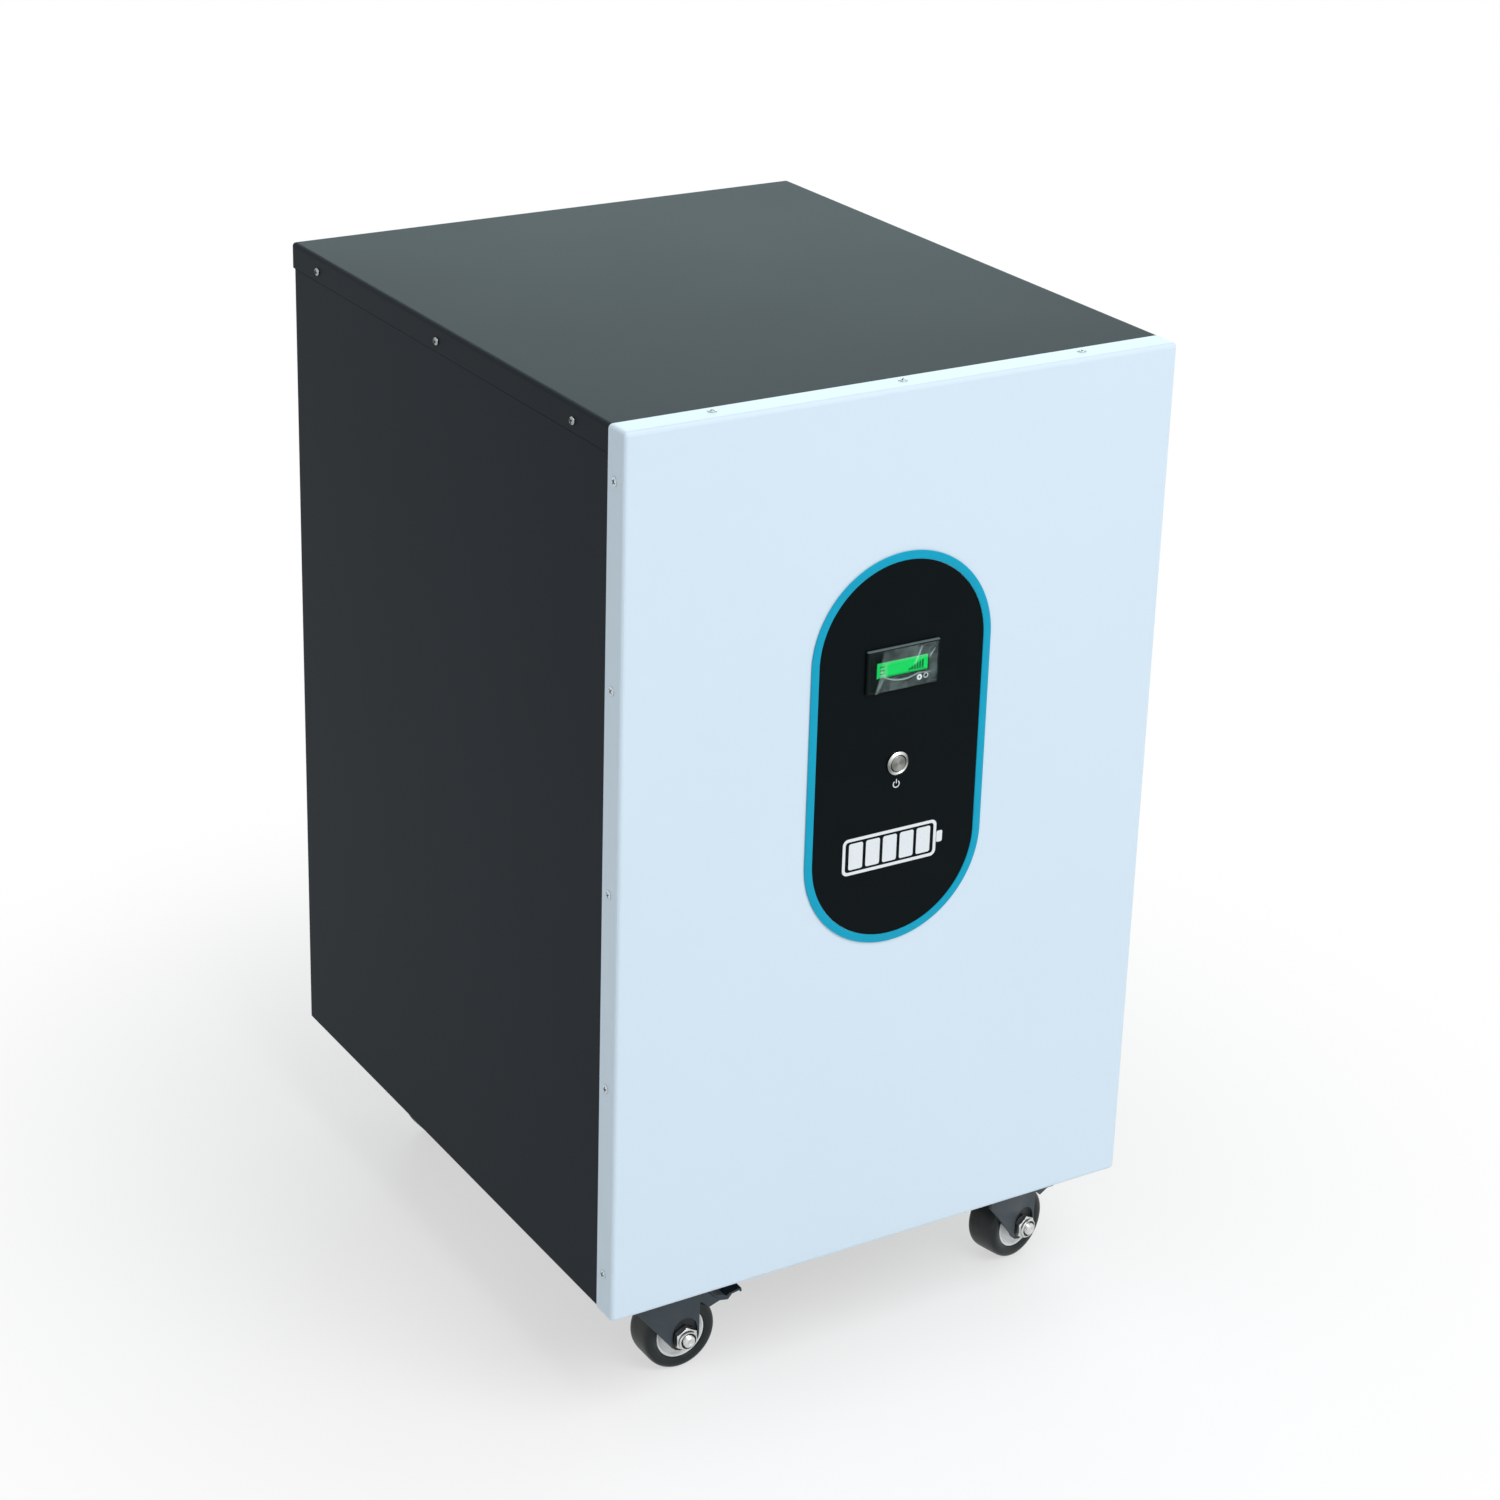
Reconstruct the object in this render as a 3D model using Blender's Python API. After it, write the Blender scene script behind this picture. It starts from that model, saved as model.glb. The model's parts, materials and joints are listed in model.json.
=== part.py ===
"""Battery cabinet on wheels: a folded steel case on four swivel casters, with its cells inside.

Metres, +Z up. The front faces -Y, and the origin is on the floor under the middle of the whole object.
"""

import math

import bmesh
import bpy
from mathutils import Vector

MM = 0.001

# Case of folded sheet steel
CASE_WIDTH = 450 * MM
CASE_DEPTH = 522 * MM
CASE_HEIGHT = 672 * MM
SHEET = 1.5 * MM
BEND = 3 * MM
GAP = 0.3 * MM
COVER_FLANGE = 22 * MM
LID_FLANGE = 20 * MM
PANEL_RETURN = 18 * MM
TRAY_FLANGE = 25 * MM
RAIL_DEPTH = 36 * MM
RAIL_FLANGE = 24 * MM

# Oval display on the cover, with heights above the case's underside
DISPLAY_WIDTH = 150 * MM
DISPLAY_HEIGHT = 299 * MM
DISPLAY_Z = 403.4 * MM
RING_WIDTH = 6.2 * MM
RING_THICK = 0.8 * MM
OVERLAY_THICK = 0.5 * MM

METER_WIDTH = 61 * MM
METER_HEIGHT = 33 * MM
METER_Z = 467.5 * MM
METER_FLANGE = 2.4 * MM
METER_EDGE = 0.8 * MM
METER_BODY_INSET = 2.2 * MM
METER_BODY_DEPTH = 20 * MM
METER_RIM = 2 * MM
WINDOW_THICK = 1 * MM
WINDOW_RECESS = 0.2 * MM
LCD_WIDTH = 43 * MM
LCD_HEIGHT = 11.6 * MM
LCD_THICK = 1.5 * MM

BUTTON_Z = 393.6 * MM
BUTTON_HEAD = 2.2 * MM
BUTTON_LIP = 1.15 * MM
BUTTON_CHAMFER = 0.9 * MM
BUTTON_BARREL_RADIUS = 7.85 * MM
BUTTON_BARREL = 24 * MM
BUTTON_WALL = 1.55 * MM
BUTTON_NUT_WALL = 1.65 * MM
BUTTON_NUT_THICK = 3 * MM
CAP_THICK = 3 * MM
CAP_EDGE = 0.4 * MM
CAP_RECESS = 0.4 * MM
CAP_TRAVEL = 1.8 * MM
STEM_RADIUS = 2 * MM
STEM_LENGTH = 8 * MM

# Fittings on the rear panel, with drops below the case's top
TERMINAL_X = 110 * MM
TERMINAL_DROP = 112 * MM
STUD_RADIUS = 4 * MM
STUD_INSIDE = 26 * MM
STUD_OUTSIDE = 28 * MM
STUD_TIP = 0.8 * MM
STUD_COLLAR_RADIUS = 9 * MM
STUD_COLLAR = 3 * MM
INSULATOR_FLANGE_RADIUS = 17 * MM
INSULATOR_FLANGE = 6 * MM
INSULATOR_BOSS_RADIUS = 12 * MM
INSULATOR_BOSS = 14 * MM
INSULATOR_SLOPE = 2 * MM
SPIGOT_RADIUS = 8.7 * MM
SPIGOT = 6 * MM

BREAKER_X = 0 * MM
BREAKER_DROP = 112 * MM
BREAKER_WIDTH = 35.4 * MM
BREAKER_HEIGHT = 80 * MM
BREAKER_DEPTH = 55 * MM
NOSE_HEIGHT = 45 * MM
NOSE_PROUD = 8 * MM
SLOT_WIDTH = 24 * MM
SLOT_HEIGHT = 18 * MM
SLOT_DEPTH = 11 * MM
LEVER_BARREL_RADIUS = 6.2 * MM
LEVER_AXIS_DEPTH = 3.5 * MM
LEVER_REACH = 16 * MM
LEVER_ROOT = 7 * MM
LEVER_END = 4.5 * MM
LEVER_TILT = math.radians(25)

SOCKET_X = 0 * MM
SOCKET_DROP = 217 * MM
SOCKET_WIDTH = 34 * MM
SOCKET_HEIGHT = 16 * MM
SOCKET_DEPTH = 24 * MM
SOCKET_LIP = 3 * MM
SOCKET_FLANGE = 1.5 * MM
PORT_WIDTH = 11.8 * MM
PORT_HEIGHT = 8.2 * MM
PORT_DEPTH = 14 * MM
PORT_SPACING = 16 * MM

EARTH_X = -110 * MM
EARTH_DROP = 217 * MM
EARTH_RADIUS = 3 * MM
EARTH_INSIDE = 8 * MM
EARTH_OUTSIDE = 15 * MM
EARTH_HEX_FLATS = 10 * MM
EARTH_HEX = 5 * MM

# Cells in two tiers of two rows
CELL_WIDTH = 174 * MM
CELL_THICK = 72 * MM
CELL_HEIGHT = 205 * MM
ROW_CELLS = 4
ROW_SPACE = 3 * MM
CELL_NOTCH = 3 * MM
POST_SPREAD = 61 * MM
POST_RADIUS = 8 * MM
POST_HEIGHT = 6 * MM
LINK_WIDTH = 20 * MM
LINK_THICK = 3 * MM
TIER_SPACE = 60 * MM
SHELF_SHEET = 2 * MM
SHELF_BEND = 4 * MM
SHELF_MARGIN = 3 * MM

BMS_THICK = 28 * MM
BMS_LENGTH = 180 * MM
BMS_HEIGHT = 260 * MM
BMS_Z = 200 * MM
BMS_FINS = 7
FIN_DEPTH = 8 * MM

CABLE_RADIUS = 6 * MM
LEAD_RADIUS = 2.5 * MM

# Casters, in their own frame: swivel axis at x = 0, floor at z = 0, wheel trailing to +x
CASTER_INSET = 69 * MM
CASTER_TURN = {"front_left": 0, "front_right": 13.5, "rear_left": 4, "rear_right": 9}
BRAKED = ("front_left", "front_right")
TRAIL = 23 * MM
WHEEL_RADIUS = 30 * MM
TYRE_HALF = 14 * MM
TYRE_DEPTH = 9.4 * MM
TYRE_SHOULDER = 4 * MM
RIM_INSET = 1.5 * MM
RIM_SLOPE = 3 * MM
WEB_INSET = 2 * MM
HUB_WALL = 3.8 * MM
HUB_DRAFT = 1 * MM
HUB_PROUD = 1 * MM
AXLE_RADIUS = 4.9 * MM
AXLE_END = 2.6 * MM
NUT_FLATS = 17 * MM
NUT_THICK = 8 * MM
BOLT_HEAD = 6.5 * MM

PLATE_LENGTH = 70 * MM
PLATE_WIDTH = 60 * MM
PLATE_CORNER = 6 * MM
PLATE_THICK = 2.5 * MM
RACE_OUTER = 13.5 * MM
RACE_INNER = 9 * MM
RACE_FLARE = 3 * MM
PLATE_RACE = 4 * MM
FORK_RACE = 2.2 * MM
KINGPIN_RADIUS = 5 * MM
RIVET_RADIUS = 8 * MM
RIVET_END_RADIUS = 6.4 * MM
RIVET_HEAD = 3.5 * MM

FORK_WALL = 3 * MM
FORK_BEND = 4 * MM
FORK_LEAD = 18 * MM
CROWN_SPACE = 29.5 * MM
SHOULDER_RISE = 2 * MM
FORK_TOE_RADIUS = 12.5 * MM
EAR_AHEAD = 8 * MM
EAR_BELOW = 8 * MM
EAR_ABOVE = 9 * MM
EAR_SLOPE = 6 * MM
PAD_THICK = 1.5 * MM
POCKET_DEPTH = 2.5 * MM
POCKET_RADIUS = 10.5 * MM
POCKET_RISE = 6 * MM

PIVOT_AHEAD = 10 * MM
PIVOT_ABOVE = 10 * MM
PEDAL_SHEET = 1.8 * MM
PEDAL_PIN_RADIUS = 2.5 * MM
PEDAL_EYE_RADIUS = 4 * MM
PEDAL_SIDE_PLAY = 0.4 * MM
PEDAL_EYE_ARC = (240, 60)
# The pedal's bends, measured from its pivot: down over the tyre, a dip for grip, and a turned-down tip
PEDAL_SPINE = (
    (3 * MM, 0.5 * MM),
    (9 * MM, -7.5 * MM),
    (19 * MM, -14.5 * MM),
    (24 * MM, -15.5 * MM),
    (27.5 * MM, -18.2 * MM),
    (31 * MM, -16.2 * MM),
    (40 * MM, -14.8 * MM),
    (40.6 * MM, -17.1 * MM),
)
# The bends that the cheeks' upper edge follows, and their lower edge from the tip end back to the pivot
CHEEK_BENDS = slice(1, 6)
PEDAL_CHEEK_LOW = (
    (32.5 * MM, -17.2 * MM),
    (29 * MM, -20.7 * MM),
    (22 * MM, -19.4 * MM),
    (13 * MM, -22.4 * MM),
    (6 * MM, -16 * MM),
)

# Places worked out from the sizes above
LAYER = SHEET + GAP
CORNER = BEND + GAP
OVERLAY_PROUD = GAP + OVERLAY_THICK
METER_PROUD = OVERLAY_PROUD + GAP + METER_FLANGE
BUTTON_HEAD_RADIUS = BUTTON_BARREL_RADIUS + BUTTON_LIP
BUTTON_NUT_FLATS = 2 * (BUTTON_BARREL_RADIUS + BUTTON_NUT_WALL)
CAP_RADIUS = BUTTON_BARREL_RADIUS - BUTTON_WALL - GAP
TERMINAL_REACH = STUD_OUTSIDE - LAYER
FRONT = -(CASE_DEPTH + TERMINAL_REACH - METER_PROUD) / 2
BACK = FRONT + CASE_DEPTH
SIDE = CASE_WIDTH / 2

TYRE_TOP = 2 * WHEEL_RADIUS
FORK_TOP = TYRE_TOP + CROWN_SPACE + FORK_WALL
RACE_Z = FORK_TOP + FORK_RACE + GAP
PLATE_UNDER = RACE_Z + PLATE_RACE
PLATE_TOP = PLATE_UNDER + PLATE_THICK

BOTTOM = PLATE_TOP - SHEET
TOP = BOTTOM + CASE_HEIGHT
MIDDLE_Y = (FRONT + BACK) / 2
REAR_FACE = BACK - LAYER
REAR_INNER = REAR_FACE - SHEET
OVERLAY_FACE = FRONT - OVERLAY_PROUD
SEAT_Y = OVERLAY_FACE - GAP
TRAY_FLOOR = BOTTOM + LAYER + SHEET

AXLE_Z = WHEEL_RADIUS
CORE_RADIUS = WHEEL_RADIUS - TYRE_DEPTH - GAP
CORE_HALF = TYRE_HALF - RIM_INSET
WEB_HALF = CORE_HALF - WEB_INSET
HUB_RADIUS = AXLE_RADIUS + GAP + HUB_WALL
HUB_HALF = TYRE_HALF + HUB_PROUD
PIVOT_X = TRAIL + PIVOT_AHEAD
PIVOT_Z = TYRE_TOP + PIVOT_ABOVE
FORK_HALF = HUB_HALF + GAP + PAD_THICK + FORK_WALL
POCKET_FLOOR = FORK_HALF - POCKET_DEPTH
SEAT_HALF = POCKET_FLOOR + GAP

ROUND_STEPS = 20
SMALL_STEPS = 14
TYRE_STEPS = 22
CORE_STEPS = 18
POST_STEPS = 8
PIN_STEPS = 10
BEND_STEPS = 3
FORK_BEND_STEPS = 2
CORNER_STEPS = 3
SHOULDER_STEPS = 3
TOE_STEPS = 7
ARCH_STEPS = 6
EYE_STEPS = 5
CABLE_FACETS = 2
CABLE_STEPS = 3
SHARP_ANGLE = math.radians(32)
NEARLY_PARALLEL = 0.9
# How far a cutter reaches past a face, and how far a joined shape sinks into the one it is joined to
PAST = 5 * MM
SINK = 0.8 * MM

FINISHES = {
    "case_grey": ((0.045, 0.055, 0.058), 0.5, 0.0),
    "cover_white": ((0.72, 0.80, 0.86), 0.35, 0.0),
    "ring_blue": ((0.02, 0.42, 0.60), 0.4, 0.0),
    "overlay_black": ((0.008, 0.011, 0.012), 0.25, 0.0),
    "meter_black": ((0.010, 0.011, 0.012), 0.3, 0.0),
    "meter_clear": ((0.55, 0.60, 0.60), 0.1, 0.0),
    "lcd_green": ((0.02, 0.65, 0.15), 0.3, 0.0),
    "button_steel": ((0.62, 0.61, 0.58), 0.25, 1.0),
    "fork_black": ((0.035, 0.042, 0.052), 0.4, 0.0),
    "zinc_steel": ((0.70, 0.71, 0.70), 0.25, 1.0),
    "core_white": ((0.72, 0.75, 0.75), 0.4, 0.0),
    "tyre_black": ((0.022, 0.026, 0.026), 0.55, 0.0),
    "insulator_red": ((0.45, 0.02, 0.02), 0.5, 0.0),
    "insulator_black": ((0.02, 0.02, 0.02), 0.5, 0.0),
    "brass": ((0.72, 0.52, 0.22), 0.3, 1.0),
    "breaker_grey": ((0.55, 0.56, 0.55), 0.5, 0.0),
    "lever_black": ((0.02, 0.02, 0.022), 0.45, 0.0),
    "cell_blue": ((0.05, 0.14, 0.32), 0.45, 0.0),
    "bms_aluminium": ((0.55, 0.56, 0.57), 0.4, 1.0),
    "cable_red": ((0.40, 0.02, 0.02), 0.55, 0.0),
    "cable_black": ((0.02, 0.02, 0.02), 0.55, 0.0),
}

# For each axis: the outline's two axes and the axis it is drawn out or spun along
PLANES = {"X": (1, 2, 0), "Y": (0, 2, 1), "Z": (0, 1, 2)}
NORMALS = {
    "-X": Vector((-1, 0, 0)),
    "+X": Vector((1, 0, 0)),
    "-Y": Vector((0, -1, 0)),
    "+Y": Vector((0, 1, 0)),
    "-Z": Vector((0, 0, -1)),
    "+Z": Vector((0, 0, 1)),
}


def clear_scene():
    for obj in list(bpy.data.objects):
        bpy.data.objects.remove(obj)


def finish(name):
    """The finish's material, made the first time it is asked for."""
    material = bpy.data.materials.get(name)
    if material is None:
        colour, roughness, metallic = FINISHES[name]
        material = bpy.data.materials.new(name)
        material.use_nodes = True
        shader = material.node_tree.nodes["Principled BSDF"]
        shader.inputs["Base Color"].default_value = (*colour, 1)
        shader.inputs["Roughness"].default_value = roughness
        shader.inputs["Metallic"].default_value = metallic
        material.diffuse_color = (*colour, 1)
    return material


def to_mesh(shape):
    """A bmesh or a mesh as a mesh."""
    if isinstance(shape, bpy.types.Mesh):
        return shape
    mesh = bpy.data.meshes.new("shape")
    shape.to_mesh(mesh)
    shape.free()
    return mesh


def add(name, shape, finish_name, at=(0, 0, 0), parent=None):
    """A named object for one physical piece."""
    mesh = to_mesh(shape)
    mesh.shade_smooth()
    mesh.set_sharp_from_angle(angle=SHARP_ANGLE)
    if not mesh.materials:
        mesh.materials.append(finish(finish_name))
    obj = bpy.data.objects.new(name, mesh)
    obj.location = at
    obj.parent = parent
    bpy.context.scene.collection.objects.link(obj)
    return obj


def add_axis(name, at, turn=0.0, parent=None):
    """An empty on a joint's axis, which carries the pieces that move about it."""
    empty = bpy.data.objects.new(name, None)
    empty.location = at
    empty.rotation_euler = (0, 0, turn)
    empty.parent = parent
    bpy.context.scene.collection.objects.link(empty)
    return empty


def combine(base, *steps):
    """The base with each (Boolean operation, shape) carried out in turn."""
    link = bpy.context.scene.collection.objects.link
    body = bpy.data.objects.new("body", to_mesh(base))
    link(body)
    tools = []
    for operation, shape in steps:
        tool = bpy.data.objects.new("tool", to_mesh(shape))
        link(tool)
        modifier = body.modifiers.new(operation.lower(), "BOOLEAN")
        modifier.operation = operation
        modifier.object = tool
        tools.append(tool)
    graph = bpy.context.evaluated_depsgraph_get()
    mesh = bpy.data.meshes.new_from_object(body.evaluated_get(graph))
    for obj in [body, *tools]:
        bpy.data.objects.remove(obj)
    return mesh


def arc(centre, radius, start, end, steps):
    """Points on an arc between two angles in degrees, both ends included."""
    points = []
    for step in range(steps + 1):
        angle = math.radians(start + (end - start) * step / steps)
        points.append((centre[0] + radius * math.cos(angle), centre[1] + radius * math.sin(angle)))
    return points


def rectangle(centre, width, height):
    x, z = centre
    return [
        (x - width / 2, z - height / 2),
        (x + width / 2, z - height / 2),
        (x + width / 2, z + height / 2),
        (x - width / 2, z + height / 2),
    ]


def round_rectangle(centre, width, height, corner, steps):
    """A rectangle with round corners, as an outline."""
    points = []
    x, y = width / 2 - corner, height / 2 - corner
    for index, (along, up) in enumerate(((x, y), (-x, y), (-x, -y), (x, -y))):
        middle = (centre[0] + along, centre[1] + up)
        points += arc(middle, corner, 90 * index, 90 * index + 90, steps)
    return points


def stadium(centre, width, height, steps):
    """An upright oval with half-round ends."""
    rise = (height - width) / 2
    upper = arc((centre[0], centre[1] + rise), width / 2, 0, 180, steps)
    lower = arc((centre[0], centre[1] - rise), width / 2, 180, 360, steps)
    return upper + lower


def hexagon(centre, flats):
    return arc(centre, flats / math.sqrt(3), 0, 300, 5)


def prism(outline, axis, low, high):
    """An outline drawn out along an axis from low to high."""
    across, up, along = PLANES[axis]
    bm = bmesh.new()
    ends = []
    for level in (low, high):
        ring = []
        for u, v in outline:
            place = [0, 0, 0]
            place[across] = u
            place[up] = v
            place[along] = level
            ring.append(bm.verts.new(place))
        bm.faces.new(ring)
        ends.append(ring)
    count = len(outline)
    for index in range(count):
        after = (index + 1) % count
        bm.faces.new((ends[0][index], ends[0][after], ends[1][after], ends[1][index]))
    bmesh.ops.recalc_face_normals(bm, faces=bm.faces)
    return bm


def turned(profile, axis, steps, centre=(0, 0), phase=0.0):
    """A closed profile of (radius, place along the axis) points, spun about the axis through centre."""
    across, up, along = PLANES[axis]
    bm = bmesh.new()
    rings = []
    for radius, place_along in profile:
        ring = []
        for step in range(steps if radius > 0 else 1):
            angle = 2 * math.pi * step / steps + phase
            place = [0, 0, 0]
            place[across] = centre[0] + radius * math.cos(angle)
            place[up] = centre[1] + radius * math.sin(angle)
            place[along] = place_along
            ring.append(bm.verts.new(place))
        rings.append(ring)
    for index, ring in enumerate(rings):
        after = rings[(index + 1) % len(rings)]
        if len(ring) == 1 and len(after) == 1:
            continue
        for step in range(steps):
            following = (step + 1) % steps
            corners = [ring[step % len(ring)], ring[following % len(ring)]]
            corners += [after[following % len(after)], after[step % len(after)]]
            bm.faces.new(list(dict.fromkeys(corners)))
    bmesh.ops.recalc_face_normals(bm, faces=bm.faces)
    return bm


def rod(axis, radius, low, high, steps, centre=(0, 0)):
    return turned(((0, low), (radius, low), (radius, high), (0, high)), axis, steps, centre)


def block(low, high):
    return bent_block(low, high, NORMALS, 0, 1)


def bent_block(low, high, sharp_sides, radius, steps):
    """A box whose edges are rounded, apart from those round the named sides."""
    bm = bmesh.new()
    bmesh.ops.create_cube(bm, size=1)
    low, high = Vector(low), Vector(high)
    bmesh.ops.scale(bm, vec=high - low, verts=bm.verts)
    bmesh.ops.translate(bm, vec=(low + high) / 2, verts=bm.verts)
    bm.normal_update()
    sharp = [NORMALS[side] for side in sharp_sides]
    edges = []
    for edge in bm.edges:
        faces = edge.link_faces
        if all(face.normal.dot(normal) < NEARLY_PARALLEL for face in faces for normal in sharp):
            edges.append(edge)
    if edges:
        bmesh.ops.bevel(bm, geom=edges, offset=radius, segments=steps, profile=0.5, affect="EDGES")
    return bm


def folded(low, high, open_sides, sheet=SHEET, bend=BEND, steps=BEND_STEPS):
    """A piece of bent sheet: the walls of a box without its open sides."""
    inner_low, inner_high = list(low), list(high)
    for axis, letter in enumerate("XYZ"):
        inner_low[axis] += -PAST if "-" + letter in open_sides else sheet
        inner_high[axis] += PAST if "+" + letter in open_sides else -sheet
    outer = bent_block(low, high, open_sides, bend, steps)
    inner = bent_block(inner_low, inner_high, open_sides, bend - sheet, steps)
    return combine(outer, ("DIFFERENCE", inner))


METER_AT = (0, BOTTOM + METER_Z)
BUTTON_AT = (0, BOTTOM + BUTTON_Z)
DISPLAY_AT = (0, BOTTOM + DISPLAY_Z)
BREAKER_AT = (BREAKER_X, TOP - BREAKER_DROP)
SOCKET_AT = (SOCKET_X, TOP - SOCKET_DROP)
EARTH_AT = (EARTH_X, TOP - EARTH_DROP)
POSITIVE_AT = (TERMINAL_X, TOP - TERMINAL_DROP)
NEGATIVE_AT = (-TERMINAL_X, TOP - TERMINAL_DROP)
METER_BODY_WIDTH = METER_WIDTH - 2 * METER_BODY_INSET
METER_BODY_HEIGHT = METER_HEIGHT - 2 * METER_BODY_INSET


def front_cutters():
    """Cuts through the cover and the overlay for the meter's body and the button's barrel."""
    low, high = FRONT - PAST, FRONT + PAST
    hole = rectangle(METER_AT, METER_BODY_WIDTH + 2 * GAP, METER_BODY_HEIGHT + 2 * GAP)
    meter = prism(hole, "Y", low, high)
    barrel = rod("Y", BUTTON_BARREL_RADIUS + GAP, low, high, ROUND_STEPS, BUTTON_AT)
    return ("DIFFERENCE", meter), ("DIFFERENCE", barrel)


def make_case():
    """The folded panels: tray, sides, rail, lid and cover."""
    inside = SIDE - 2 * LAYER
    panel_front = FRONT + CORNER
    panel_back = REAR_INNER - GAP
    tray_low = (-inside, panel_front + LAYER, BOTTOM + LAYER)
    tray_high = (inside, panel_back - LAYER, BOTTOM + LAYER + TRAY_FLANGE)
    add("base_tray", folded(tray_low, tray_high, ("+Z",)), "case_grey")

    edge = SIDE - LAYER
    for name, sign, inner_side in (("left_panel", -1, "+X"), ("right_panel", 1, "-X")):
        xs = sorted((sign * edge, sign * (edge - PANEL_RETURN)))
        panel_low = (xs[0], panel_front, BOTTOM + CORNER)
        panel_high = (xs[1], panel_back, TOP - CORNER)
        add(name, folded(panel_low, panel_high, (inner_side, "-Z", "+Z")), "case_grey")

    rail_half = inside - (BEND - SHEET)
    rail_low = (-rail_half, panel_front + LAYER, TOP - LAYER - RAIL_FLANGE)
    rail_high = (rail_half, panel_front + LAYER + RAIL_DEPTH, TOP - LAYER)
    add("top_rail", folded(rail_low, rail_high, ("-X", "+X", "-Z")), "case_grey")

    lid_low = (-SIDE, FRONT + COVER_FLANGE + GAP, TOP - LID_FLANGE)
    add("top_lid", folded(lid_low, (SIDE, BACK, TOP), ("-Y", "-Z")), "case_grey")

    cover = folded((-SIDE, FRONT, BOTTOM), (SIDE, FRONT + COVER_FLANGE, TOP), ("+Y",))
    add("front_cover", combine(cover, *front_cutters()), "cover_white")


def make_rear_panel():
    """The flat rear panel, with a hole for each fitting."""
    edge = SIDE - CORNER
    low, high = REAR_INNER - PAST, REAR_FACE + PAST
    holes = [
        prism(rectangle(BREAKER_AT, BREAKER_WIDTH + 2 * GAP, NOSE_HEIGHT + 2 * GAP), "Y", low, high),
        prism(rectangle(SOCKET_AT, SOCKET_WIDTH + 2 * GAP, SOCKET_HEIGHT + 2 * GAP), "Y", low, high),
        rod("Y", EARTH_RADIUS + GAP, low, high, SMALL_STEPS, EARTH_AT),
    ]
    for centre in (POSITIVE_AT, NEGATIVE_AT):
        holes.append(rod("Y", SPIGOT_RADIUS + GAP, low, high, SMALL_STEPS, centre))
    sheet = block((-edge, REAR_INNER, BOTTOM + LAYER), (edge, REAR_FACE, TOP - CORNER))
    add("rear_panel", combine(sheet, *[("DIFFERENCE", hole) for hole in holes]), "case_grey")


def make_display():
    """The blue ring and the black overlay inside it, both stuck to the cover."""
    ring_front = FRONT - GAP - RING_THICK
    outer = stadium(DISPLAY_AT, DISPLAY_WIDTH, DISPLAY_HEIGHT, ROUND_STEPS)
    inner_width = DISPLAY_WIDTH - 2 * RING_WIDTH
    inner = stadium(DISPLAY_AT, inner_width, DISPLAY_HEIGHT - 2 * RING_WIDTH, ROUND_STEPS)
    hollow = prism(inner, "Y", ring_front - PAST, FRONT + PAST)
    ring = combine(prism(outer, "Y", ring_front, FRONT - GAP), ("DIFFERENCE", hollow))
    add("trim_ring", ring, "ring_blue")

    inset = RING_WIDTH + GAP
    sheet_width = DISPLAY_WIDTH - 2 * inset
    sheet_outline = stadium(DISPLAY_AT, sheet_width, DISPLAY_HEIGHT - 2 * inset, ROUND_STEPS)
    sheet = prism(sheet_outline, "Y", OVERLAY_FACE, FRONT - GAP)
    add("display_overlay", combine(sheet, *front_cutters()), "overlay_black")


def make_meter():
    """The panel meter: a flanged housing with a window over a lit display."""
    x, z = METER_AT
    face = SEAT_Y - METER_FLANGE
    half_width, half_height = METER_WIDTH / 2, METER_HEIGHT / 2
    flange = bent_block(
        (x - half_width, face, z - half_height),
        (x + half_width, SEAT_Y, z + half_height),
        ("+Y",),
        METER_EDGE,
        1,
    )
    body_outline = rectangle(METER_AT, METER_BODY_WIDTH, METER_BODY_HEIGHT)
    body = prism(body_outline, "Y", SEAT_Y - SINK, FRONT + METER_BODY_DEPTH)
    window_width = METER_WIDTH - 2 * METER_RIM
    window_height = METER_HEIGHT - 2 * METER_RIM
    window_front = face + WINDOW_RECESS
    window_back = window_front + WINDOW_THICK
    pocket_back = window_back + GAP
    lcd_front = pocket_back + GAP
    lcd_back = lcd_front + LCD_THICK
    pocket = prism(rectangle(METER_AT, window_width, window_height), "Y", face - PAST, pocket_back)
    well = prism(rectangle(METER_AT, LCD_WIDTH, LCD_HEIGHT), "Y", face - PAST, lcd_back + GAP)
    housing = combine(flange, ("UNION", body), ("DIFFERENCE", pocket), ("DIFFERENCE", well))
    add("meter_housing", housing, "meter_black")

    pane = rectangle(METER_AT, window_width - 2 * GAP, window_height - 2 * GAP)
    add("meter_window", prism(pane, "Y", window_front, window_back), "meter_clear")
    screen = rectangle(METER_AT, LCD_WIDTH - 2 * GAP, LCD_HEIGHT - 2 * GAP)
    add("meter_display", prism(screen, "Y", lcd_front, lcd_back), "lcd_green")


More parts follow.
